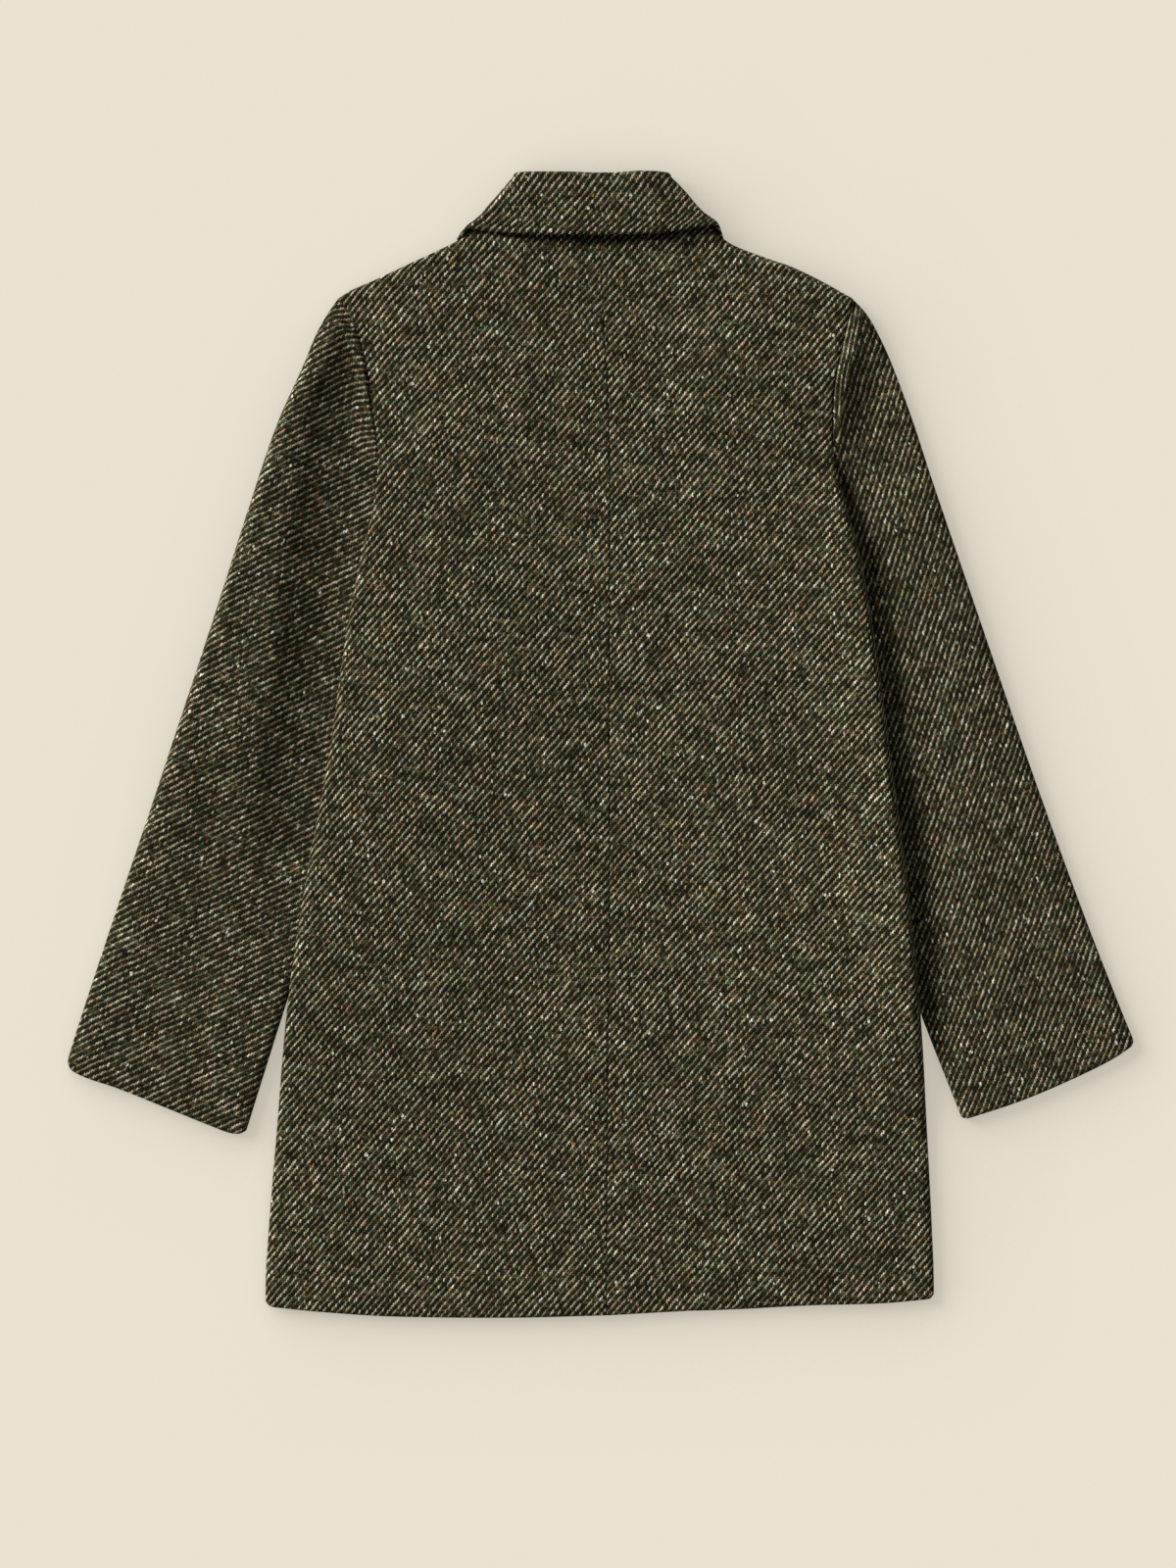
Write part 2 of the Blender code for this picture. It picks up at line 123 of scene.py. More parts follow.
# What the body lies on: the tucked part of each sleeve, and the front of the collar
tuckedLeft, tuckedRight = (
    (half["sleeveInner"][0], half["armhole"][-1], half["sleeveInner"][3]) for half in (leftHalf, rightHalf)
)
under = {
    "sleeves": (tuckedLeft, tuckedRight[::-1]),
    "collar": ((-106, 396), (-88, 335), (-30, 284), (34, 284), (78, 335), (93, 396)),
    "sleeveLift": 9.8,
    "collarLift": 3.5,
    # slopes: held up this far round it, then down over this much more
    "sleeveSlope": (18, 46),
    "collarSlope": (12, 50),
    "collarSlopeOver": (12, 90),  # the back comes down more gently
    # the back over each sleeve, and the right armhole that stands up with it
    "raised": (
        (tuckedLeft, 6.4),
        (tuckedRight[::-1], 6.6),
        ((*tuckedRight[:2], (193, 340), (165, 340)), 6.6),
    ),
    "raisedSlope": (7, 50, 3.6, 1.7),  # and stretched, more across than along
}


def ease(share):
    share = np.clip(share, 0.0, 1.0)
    return share * share * (3.0 - 2.0 * share)


def within(y, low, lowRun, high, highRun):  # 1 well between two heights, 0 outside them
    return ease((y - low) / lowRun) * ease((high - y) / highRun)


def bump(away, wide):  # 1 in the middle, dying away on both sides
    return np.exp(-((away / wide) ** 2))


def gapsOf(points):  # from each point to the next
    return np.linalg.norm(np.diff(points, axis=-2), axis=-1)


def addUp(steps):  # running sums along each row, from 0
    return np.cumsum(np.concatenate((np.zeros_like(steps[..., :1]), steps), axis=-1), axis=-1)


def ridge(away, high, at, wide):
    return high * bump(away - at, wide)


def runAlong(points, share):  # smooth curve through the points, by share of its length
    points = np.asarray(points, float)
    gaps = gapsOf(points)
    knots = addUp(gaps)
    slopes = np.empty_like(points)
    slopes[0] = (points[1] - points[0]) / gaps[0]
    slopes[-1] = (points[-1] - points[-2]) / gaps[-1]
    slopes[1:-1] = (points[2:] - points[:-2]) / (knots[2:] - knots[:-2])[:, None]
    at = np.clip(share, 0.0, 1.0) * knots[-1]
    k = np.clip(np.searchsorted(knots, at, side="right") - 1, 0, len(points) - 2)
    t = ((at - knots[k]) / gaps[k])[..., None]
    span = gaps[k][..., None]
    return (
        points[k] * (2 * t**3 - 3 * t**2 + 1)
        + slopes[k] * span * (t**3 - 2 * t**2 + t)
        + points[k + 1] * (3 * t**2 - 2 * t**3)
        + slopes[k + 1] * span * (t**3 - t**2)
    )


def xAt(y, points, count=200):  # x of a curve that comes down, at each y
    line = runAlong(points, np.linspace(0, 1, count))[::-1]
    return np.interp(y, line[:, 1], line[:, 0])


def readTable(at, table):  # the other columns, by the first
    columns = list(zip(*table))
    return [np.interp(at, columns[0], column) for column in columns[1:]]


def lengthOf(points):
    return float(gapsOf(points).sum())


def oneAfterOther(first, second):  # two curves end to end, and the share where they meet
    meet = lengthOf(first) / (lengthOf(first) + lengthOf(second))

    def curve(share):
        share = np.asarray(share, float)
        late = runAlong(second, (share - meet) / (1 - meet))
        return np.where((share <= meet)[..., None], runAlong(first, share / meet), late)

    return curve, meet


def fillEdges(startOf, endOf, topOf, bottomOf, across, down):  # plan that fills four edges
    a, d = across[..., None], down[..., None]
    none, full = np.zeros_like(across), np.ones_like(across)
    sides = startOf(down) * (1 - a) + endOf(down) * a
    ends = topOf(across) * (1 - d) + bottomOf(across) * d
    upper = topOf(none) * (1 - a) + topOf(full) * a
    lower = bottomOf(none) * (1 - a) + bottomOf(full) * a
    return sides + ends - upper * (1 - d) - lower * d


def fromLine(x, y, start, end):  # distance from a straight line, and the share along it
    runX, runY = end[0] - start[0], end[1] - start[1]
    t = np.clip(((x - start[0]) * runX + (y - start[1]) * runY) / (runX**2 + runY**2), 0, 1)
    return np.hypot(x - start[0] - runX * t, y - start[1] - runY * t), t


def outsideOf(x, y, corners, wideX=1.0, wideY=1.0):  # distance from a convex outline, 0 inside it
    corners = [(cx / wideX, cy / wideY) for cx, cy in corners]
    x, y = x / wideX, y / wideY
    nearest = np.full(x.shape, np.inf)
    inside = np.ones(x.shape, bool)
    for start, end in zip(corners, corners[1:] + corners[:1]):
        (ax, ay), (bx, by) = start, end
        inside &= (bx - ax) * (y - ay) - (by - ay) * (x - ax) >= 0
        nearest = np.minimum(nearest, fromLine(x, y, start, end)[0])
    return np.where(inside, 0.0, nearest)


def heldUp(x, y, corners, near, run, *stretch):  # 1 over what lies below, 0 away from it
    return ease(1 - (outsideOf(x, y, corners, *stretch) - near) / run)


def liftUnder(x, y):  # underside of the fronts over the sleeves and the collar
    height = under["collarLift"] * heldUp(x, y, under["collar"], *under["collarSlope"])
    for corners in under["sleeves"]:
        height = np.maximum(height, under["sleeveLift"] * heldUp(x, y, corners, *under["sleeveSlope"]))
    return height


def liftOver(x, y):  # underside of the back, and how much of it is not the collar's doing
    byCollar = under["collarLift"] * heldUp(x, y, under["collar"], *under["collarSlopeOver"])
    height = byCollar
    for corners, lift in under["raised"]:
        height = np.maximum(height, lift * heldUp(x, y, corners, *under["raisedSlope"]))
    return height, height - byCollar


def foldDrop(inBy, wide, deep):  # quarter ellipse down to a folded edge
    s = np.clip(1 - inBy / wide, 0.0, 1.0)
    return deep * (1 - np.sqrt(1 - s * s))


def roundCorner(fromOne, fromOther, radius):  # how far a corner's points move in from its two edges
    p, q = (np.clip(1 - gap / radius, 0.0, 1.0) for gap in (fromOne, fromOther))
    return radius * p * (1 - np.sqrt(1 - q * q / 2)), radius * q * (1 - np.sqrt(1 - p * p / 2))


def edgeStops(wide, count):  # distances in from a folded edge, flat first, rim last
    return wide * (1 - np.sin(np.linspace(0, math.pi / 2, count)))


def acrossStops(width, starts, count, ends):  # shares across each row, closer together at its ends
    begin, end = starts[-1] / width, 1 - ends[0] / width
    middle = begin + (end - begin) * np.linspace(0, 1, count)[None, 1:-1]
    return np.concatenate((starts[None] / width, middle, 1 - ends[None] / width), axis=1)


def creaseHeight(x, y, creases):  # soft troughs and ridges: (path, half width, height)
    height = np.zeros_like(x)
    bits = 24
    fade = 0.3  # share of its length, at both ends
    for path, wide, high in creases:
        line = runAlong(path, np.linspace(0, 1, bits + 1))
        nearest = np.full(x.shape, np.inf)
        share = np.zeros_like(x)
        for k in range(bits):
            gap, t = fromLine(x, y, line[k], line[k + 1])
            share = np.where(gap < nearest, (k + t) / bits, share)
            nearest = np.minimum(gap, nearest)
        height += high * bump(nearest, wide) * within(share, 0.0, fade, 1.0, fade)
    return height


def grainOnFlat(x, y, z):  # cloth coordinates that go on round a fold by its length
    runX, riseX = np.diff(x, axis=1), np.diff(z, axis=1)
    runY, riseY = np.diff(y, axis=0), np.diff(z, axis=0)
    u, v = x.copy(), y.copy()
    u[:, 1:] += np.cumsum((np.hypot(runX, riseX) - np.abs(runX)) * np.sign(runX), axis=1)
    v[:-1] += np.cumsum((np.hypot(runY, riseY) - np.abs(runY))[::-1], axis=0)[::-1]
    return np.stack((u, v), axis=-1)


def addToScene(name, data):
    thing = bpy.data.objects.new(name, data)
    bpy.context.scene.collection.objects.link(thing)
    return thing


def layCloth(name, x, y, z, grain, flip, finish, shift=-1.0):
    rows, columns = x.shape
    sheet = bmesh.new()
    bmesh.ops.create_grid(sheet, x_segments=columns - 1, y_segments=rows - 1, size=0.5)
    grainLayer = sheet.loops.layers.uv.new("grain")
    spots = []
    for vert in sheet.verts:
        spot = round((vert.co.y + 0.5) * (rows - 1)), round((vert.co.x + 0.5) * (columns - 1))
        spots.append(spot)
        vert.co = [axis[spot] * mm for axis in (x, y, z)]
    sheet.verts.index_update()
    for face in sheet.faces:
        for corner in face.loops:
            corner[grainLayer].uv = grain[spots[corner.vert.index]] * mm
    if flip:
        bmesh.ops.reverse_faces(sheet, faces=sheet.faces)
    mesh = bpy.data.meshes.new(name)
    sheet.to_mesh(mesh)
    sheet.free()
    mesh.shade_smooth()
    mesh.materials.append(finish)
    piece = addToScene(name, mesh)
    wall = piece.modifiers.new("Wall", "SOLIDIFY")
    wall.thickness = coat["wall"] * mm
    wall.offset = shift
    rim = piece.modifiers.new("Rim", "BEVEL")
    rim.width = coat["rimBevel"] * mm
    rim.segments = 2
    rim.limit_method = "ANGLE"
    rim.angle_limit = math.radians(50)
    return piece


def nodeTools(tree):  # short ways to make and join shader nodes
    def join(value, socket):
        if isinstance(value, bpy.types.NodeSocket):
            tree.links.new(value, socket)
        else:
            socket.default_value = value

    def dress(looks):  # the shader's inputs by name
        for name, value in looks.items():
            join(value, tree.nodes["Principled BSDF"].inputs[name])

    def make(kind, values, out=0, **settings):  # values by the number or name of an input
        node = tree.nodes.new("ShaderNode" + kind)
        for name, setting in settings.items():
            setattr(node, name, setting)
        for key, value in dict(values).items():
            join(value, node.inputs[key])
        return node.outputs[out]

    def calc(operation, *values):
        return make("Math", enumerate(values), operation=operation)

    def spread(*values):  # value, low, high, to low, to high
        return make("MapRange", enumerate(values))

    def spot(u, v, w=0.0):
        return make("CombineXYZ", enumerate((u, v, w)))

    def parts(vector):
        return make("SeparateXYZ", {0: vector}, slice(3))

    def cloud(at, scale, detail, out="Fac"):
        return make("TexNoise", {"Vector": at, "Scale": scale, "Detail": detail}, out)

    def chance(first, second, seed):  # same value all over one float
        return make("TexWhiteNoise", {"Vector": spot(first, second, seed)}, "Value")

    def blend(share, first, second, kind="MIX"):
        return make("Mix", {0: share, 6: first, 7: second}, 2, data_type="RGBA", blend_type=kind)

    def dye(colour, shade):
        return blend(1.0, colour, shade, "MULTIPLY")

    def ramp(value, stops, steps="LINEAR"):
        node = tree.nodes.new("ShaderNodeValToRGB")
        node.color_ramp.interpolation = steps
        bar = node.color_ramp.elements
        while len(bar) < len(stops):
            bar.new(0.5)
        for element, (place, colour) in zip(bar, stops):
            element.position = place
            element.color = (*colour, 1.0)
        join(value, node.inputs[0])
        return node.outputs["Color"]

    return dress, make, spot, ramp, dye, blend, parts, calc, spread, cloud, chance


# Tweed: a 2/2 twill of light marled warp and dark green-black weft, with flecks
tweed = {
    "end": 1.37,  # warp spacing
    "pick": 1.6,  # weft spacing
    "lean": 0.55,  # how far a warp float leans with the rib
    "sway": (48.0, 0.5),  # threads wander: cloud scale, how far
    "jitter": (330.0, 0.2),  # and are uneven
    "roundness": (2.0, 4.0),  # of a float, across and along
    "weftHeight": 0.72,  # beside the warp's
    "fibreHeight": 0.25,
    "relief": {"Strength": 0.8, "Distance": 0.34 * mm},
    "surface": {
        "Roughness": 0.95, "Specular IOR Level": 0.05, "Sheen Weight": 0.03, "Sheen Roughness": 0.55,
        "Sheen Tint": (0.8, 0.76, 0.62, 1.0),
    },
    "warpTones": (
        (0.08, (0.026, 0.025, 0.011)), (0.18, (0.078, 0.069, 0.036)), (0.36, (0.149, 0.128, 0.073)),
        (0.6, (0.281, 0.244, 0.152)), (0.82, (0.466, 0.424, 0.298)), (0.97, (0.77, 0.76, 0.635)),
    ),
    "weftTones": (
        (0.15, (0.01, 0.0104, 0.004)), (0.5, (0.019, 0.0194, 0.0082)), (0.72, (0.045, 0.044, 0.021)),
        (0.92, (0.125, 0.116, 0.064)),
    ),
    # hue of single floats: green, plain, plain, pink, brown
    "warpTints": (
        (0.1, (0.88, 1.03, 0.98)), (0.34, (0.97, 1.01, 1.0)), (0.6, (1.03, 0.99, 1.0)),
        (0.78, (1.11, 0.97, 1.0)), (0.92, (1.21, 0.94, 0.86)),
    ),
    "weftTints": (
        (0.1, (0.54, 1.11, 1.02)), (0.34, (0.86, 1.03, 1.02)), (0.6, (1.0, 1.0, 1.0)),
        (0.78, (1.17, 0.96, 0.98)), (0.92, (1.48, 0.85, 0.72)),
    ),
    "ownHue": 0.62,  # the rest drifts: cloud scale, detail, half span, least, most
    "hueClouds": ((210.0, 1.0, 0.22, 0.0, 0.38), (52.0, 2.0, 0.2, -0.19, 0.19)),
    "blueSpread": (0.55, 0.12),  # weft, warp
    # warp, weft: share of a yarn's tone that drifts along it, cloud scale, step between yarns
    "marl": ((0.28, 95.0, 0.43), (0.45, 55.0, 0.37)),
    # dark streaks along the weft: scale along it, across it, seed, detail, cloud span, dark, light
    "streaks": (
        (34.0, 290.0, 3.1, 2.0, 0.34, 0.64, 0.72, 1.18), (5.0, 38.0, 8.7, 1.0, 0.3, 0.7, 0.92, 1.08),
    ),
    "blotches": (50.0, 0.25),  # scale, darker and lighter by
    "fibres": (1500.0, 0.38),
    "lumps": 430.0,  # scale
    "threadSpan": (0.05, 0.85),  # heights that get the painted shades below
    # painted shade by thread height, darkest between the threads: for the cloth, then for flecks
    "paintedThreadShade": (0.17, 1.15),
    "paintedFleckShade": (0.65, 1.0),
    "fleckFibres": (0.86, 1.12),
    "middle": (0.074, 0.068, 0.04),  # rubbed cloth tends to this
    # cell scale, reach, share of cells, stretch along the warp, seed
    "flecks": ((150.0, 0.15, 0.34, 0.7, 0.0), (260.0, 0.2, 0.16, 0.6, 4.7)),
    "fleckUneven": 0.03,
    "fleckCover": 0.85,
    "fleckColours": (
        (0.0, (0.96, 0.93, 0.8)), (0.42, (0.44, 0.385, 0.27)), (0.6, (0.3, 0.09, 0.026)),
        (0.73, (0.36, 0.215, 0.038)), (0.81, (0.19, 0.022, 0.016)), (0.88, (0.018, 0.08, 0.085)),
        (0.94, (0.085, 0.105, 0.036)),
    ),
}


def tweedFinish(name, toneAndPaintedShade, worn, uneven):  # shares: brightness with painted shade on the sleeves and collar, rubbed, uneven yarn
    finish = bpy.data.materials.new(name)
    finish.use_nodes = True
    dress, make, spot, ramp, dye, blend, parts, calc, spread, cloud, chance = nodeTools(finish.node_tree)
    plus, minus, times = (partial(calc, kind) for kind in ("ADD", "SUBTRACT", "MULTIPLY"))

    def drift(noise, least, most, half=0.2):  # a cloud's usual values, spread out
        return spread(noise, 0.5 - half, 0.5 + half, least, most)

    # Threads wander a little
    flat = make("UVMap", {}, "UV", uv_map="grain")
    u, v, _ = parts(flat)
    for (scale, far), more in ((tweed["sway"], 0.0), (tweed["jitter"], uneven)):
        far *= mm * (1 + more)
        swayU, swayV, _ = parts(cloud(flat, scale, 1.0, "Color"))
        u = plus(u, drift(swayU, -far, far))
        v = plus(v, drift(swayV, -far, far))
    a = calc("DIVIDE", u, tweed["end"] * mm)
    b = calc("DIVIDE", v, tweed["pick"] * mm)
    endNo, pickNo = calc("FLOOR", a), calc("FLOOR", b)
    inEnd, inPick = calc("FRACT", a), calc("FRACT", b)
    repeat = 4.0  # over two, under two
    place = calc("FLOORED_MODULO", minus(endNo, pickNo), repeat)
    warpUp = calc("LESS_THAN", place, 1.5)

    # Floats: along and across, each two threads long
    alongWarp = times(plus(minus(1.0, place), inPick), 0.5)
    alongWeft = times(plus(minus(place, 2.0), inEnd), 0.5)
    leant = minus(inEnd, times(minus(alongWarp, 0.5), tweed["lean"]))

    def roundOff(share, power):
        out = calc("ABSOLUTE", minus(times(share, 2.0), 1.0))
        return calc("MAXIMUM", minus(1.0, calc("POWER", out, power)), 0.0)

    across, along = tweed["roundness"]
    warpFloat = times(roundOff(leant, across), roundOff(alongWarp, along))
    weftFloat = times(roundOff(inPick, across), roundOff(alongWeft, along))
    weftFloat = times(weftFloat, tweed["weftHeight"])
    thread = plus(times(warpFloat, warpUp), times(weftFloat, minus(1.0, warpUp)))

    # Every float has its own tone, on top of marl along the yarn
    floatNo = calc("FLOOR", calc("DIVIDE", minus(endNo, pickNo), repeat))
    (warpShare, warpScale, warpStep), (weftShare, weftScale, weftStep) = tweed["marl"]
    warpMarl = spot(times(endNo, warpStep), times(v, warpScale))
    weftMarl = spot(times(u, weftScale), times(pickNo, weftStep), 7.3)

    def yarnColour(yarnNo, seed, marl, share, tones):
        own = times(chance(yarnNo, floatNo, seed), 1 - share)
        return ramp(plus(own, drift(cloud(marl, 1.0, 1.0), 0.0, share, 0.22)), tones)

    warpColour = yarnColour(endNo, 0.0, warpMarl, warpShare, tweed["warpTones"])
    weftColour = yarnColour(pickNo, 5.5, weftMarl, weftShare, tweed["weftTones"])
    colour = blend(warpUp, weftColour, warpColour)

    # Dark streaks along the weft, blotches, uneven yarn, and painted shade between the threads, lighter on
    # their tops
    shade = spread(thread, *tweed["threadSpan"], *tweed["paintedThreadShade"])
    for scaleU, scaleV, seed, detail, *levels in tweed["streaks"]:
        streak = cloud(spot(times(u, scaleU), times(v, scaleV), seed), 1.0, detail)
        shade = times(shade, spread(streak, *levels))
    scale, more = tweed["blotches"]
    shade = times(shade, drift(cloud(flat, scale, 2.0), 1 - more, 1 + more, 0.18))
    shade = times(shade, drift(cloud(flat, tweed["lumps"], 1.0), 1 - uneven, 1 + uneven))
    scale, more = tweed["fibres"]
    fibre = cloud(flat, scale, 1.0)
    shade = times(shade, drift(fibre, (1 - more) * toneAndPaintedShade, (1 + more) * toneAndPaintedShade))
    colour = dye(colour, shade)

    # Every float has its own hue too
    lotOf = plus(endNo, times(pickNo, minus(1.0, warpUp)))
    hue = times(chance(lotOf, floatNo, 9.1), tweed["ownHue"])
    for scale, detail, half, least, most in tweed["hueClouds"]:
        hue = plus(hue, drift(cloud(flat, scale, detail), least, most, half))
    tint = blend(warpUp, ramp(hue, tweed["weftTints"]), ramp(hue, tweed["warpTints"]))
    colour = dye(colour, tint)
    blue = spread(chance(lotOf, floatNo, 13.7), 0.0, 1.0, -1.0, 1.0)
    blue = times(blue, spread(warpUp, 0.0, 1.0, *tweed["blueSpread"]))
    colour = dye(colour, spot(1.0, 1.0, plus(blue, 1.0)))

    # Flecks: cream most of all, then rust, mustard, red, teal and green
    # Flecks take the painted shade between the threads too, and the fibres' drift
    paintedFleckShade = spread(thread, *tweed["threadSpan"], *tweed["paintedFleckShade"])
    paintedFleckShade = times(paintedFleckShade, drift(fibre, *tweed["fleckFibres"]))
    ragged = drift(fibre, -tweed["fleckUneven"], tweed["fleckUneven"])
    for scale, reach, share, stretch, seed in tweed["flecks"]:
        at = spot(u, times(v, stretch), seed)
        gap, lot = make("TexVoronoi", {"Vector": at, "Scale": scale}, slice(2))
        which, there, size = parts(lot)
        near = calc("LESS_THAN", plus(gap, ragged), times(size, reach))
        fleck = times(near, calc("LESS_THAN", there, share))
        fleckColour = dye(ramp(which, tweed["fleckColours"], "CONSTANT"), paintedFleckShade)
        colour = blend(times(fleck, tweed["fleckCover"]), colour, fleckColour)

    colour = blend(worn, colour, (*(value * toneAndPaintedShade for value in tweed["middle"]), 1.0))
    height = plus(thread, times(fibre, tweed["fibreHeight"]))
    relief = make("Bump", {"Height": height, **tweed["relief"]})
    dress({"Base Color": colour, "Normal": relief, **tweed["surface"]})
    return finish


backTweed = tweedFinish("tweed of the back", 0.99, 0.0, 0.12)
frontTweed = tweedFinish("tweed of the fronts", 0.99, 0.0, 0.12)
# The sleeves' and collar's tweed is darker all over than the back's: painted shade
sleeveTweed = tweedFinish("tweed of the sleeves", 0.915, 0.04, 0.45)
collarTweed = tweedFinish("tweed of the collar", 0.825, 0.01, 0.05)
print("tweed made")

back = {
    "seamDip": {-1: 0.9, 1: 0.25},  # centre back seam pulls in
    "seamTop": (0.3, 360, 70),  # this share of it at the neck, down from this y over this run
    "seamMeet": 0.03,  # no light comes up between the halves
    "seamWide": 0.8,
    "armholeDip": {-1: 1.1, 1: 1.7},
    "armholeBelow": 60,  # starts this far below the armpit
    "armholeRun": 40,
    "hemCorner": {-1: 6, 1: 5},
    "hemWide": 3.2,
    "hemDeep": 1.6,
    "puff": {-1: 0.8, 1: 10.4},  # side edge stands up over the sleeve
    "puffWide": 40,
    "puffFrom": -330,
    "puffRun": 190,
    "puffTopRun": 70,
    "neckEnd": {-1: -92, 1: 81},  # runs on under the collar's ends
    # sinks a little under the collar's edge: x, y, depth
    "groove": (
        (-98, 394, 0), (-80, 391.9, 1), (-65, 390.6, 1.6), (-45, 390.1, 2.3), (-24, 389.6, 2.5),
        (1, 389.3, 2.4), (20, 389.8, 2.4), (36, 390.3, 2.9), (50, 391.6, 3.6), (65, 394, 4),
        (76, 395.8, 3.6), (84, 396.6, 2.2), (92, 397, 0),
    ),
    "grooveHalf": 3.2,
    "grainShift": {-1: (0, 0), 1: (2003.1, 1.9)},
    "creases": {
        -1: (
            (((-140, 320), (-118, 250), (-104, 160)), 28, 0.4),
            (((-158, 150), (-160, 20), (-168, -80)), 30, 0.6),
            (((-40, 130), (-36, -40), (-46, -200)), 34, 0.8),
            (((-232, -240), (-238, -320), (-240, -400)), 28, 0.6),
            (((-70, -260), (-66, -340), (-62, -425)), 40, 0.7),
        ),
        1: (
            (((150, 320), (126, 240), (112, 150)), 28, 0.3),
            (((70, 60), (80, -40), (90, -160)), 38, 0.4),
            (((186, -150), (196, -260), (200, -380)), 30, -0.4),
            (((20, -220), (26, -300), (30, -410)), 34, 0.5),
        ),
    },
}

front = {
    "lapUp": 3.3,  # the left front's lap lies on the right one's
    "lapRun": 24,
    "lapHemUp": 3,  # hems are a little shorter at the lap
    "lapHemPower": 20,
    "hemWide": 3,
    "hemDeep": 0.8,
    "hemPeek": (1.6, 122, 58),  # the right front shows below the hem: by, middle, half width
    "hemPeekRun": 60,
    "edgeDeep": 3.75,
    "sideTuck": 2.6,  # over a sleeve its side edge stays inside the back's fold
    "sideTuckRun": 26,
    "grainShift": {-1: (4007.3, 0.7), 1: (6011.9, 2.3)},
    "creases": {
        -1: (
            (((-110, 120), (-130, -40), (-140, -220)), 26, 0.7),
            (((-60, -160), (-90, -290), (-90, -410)), 24, 0.6),
        ),
        1: (
            (((120, 110), (136, -60), (150, -240)), 26, 0.7),
            (((60, -150), (80, -280), (96, -400)), 24, 0.6),
        ),
    },
}


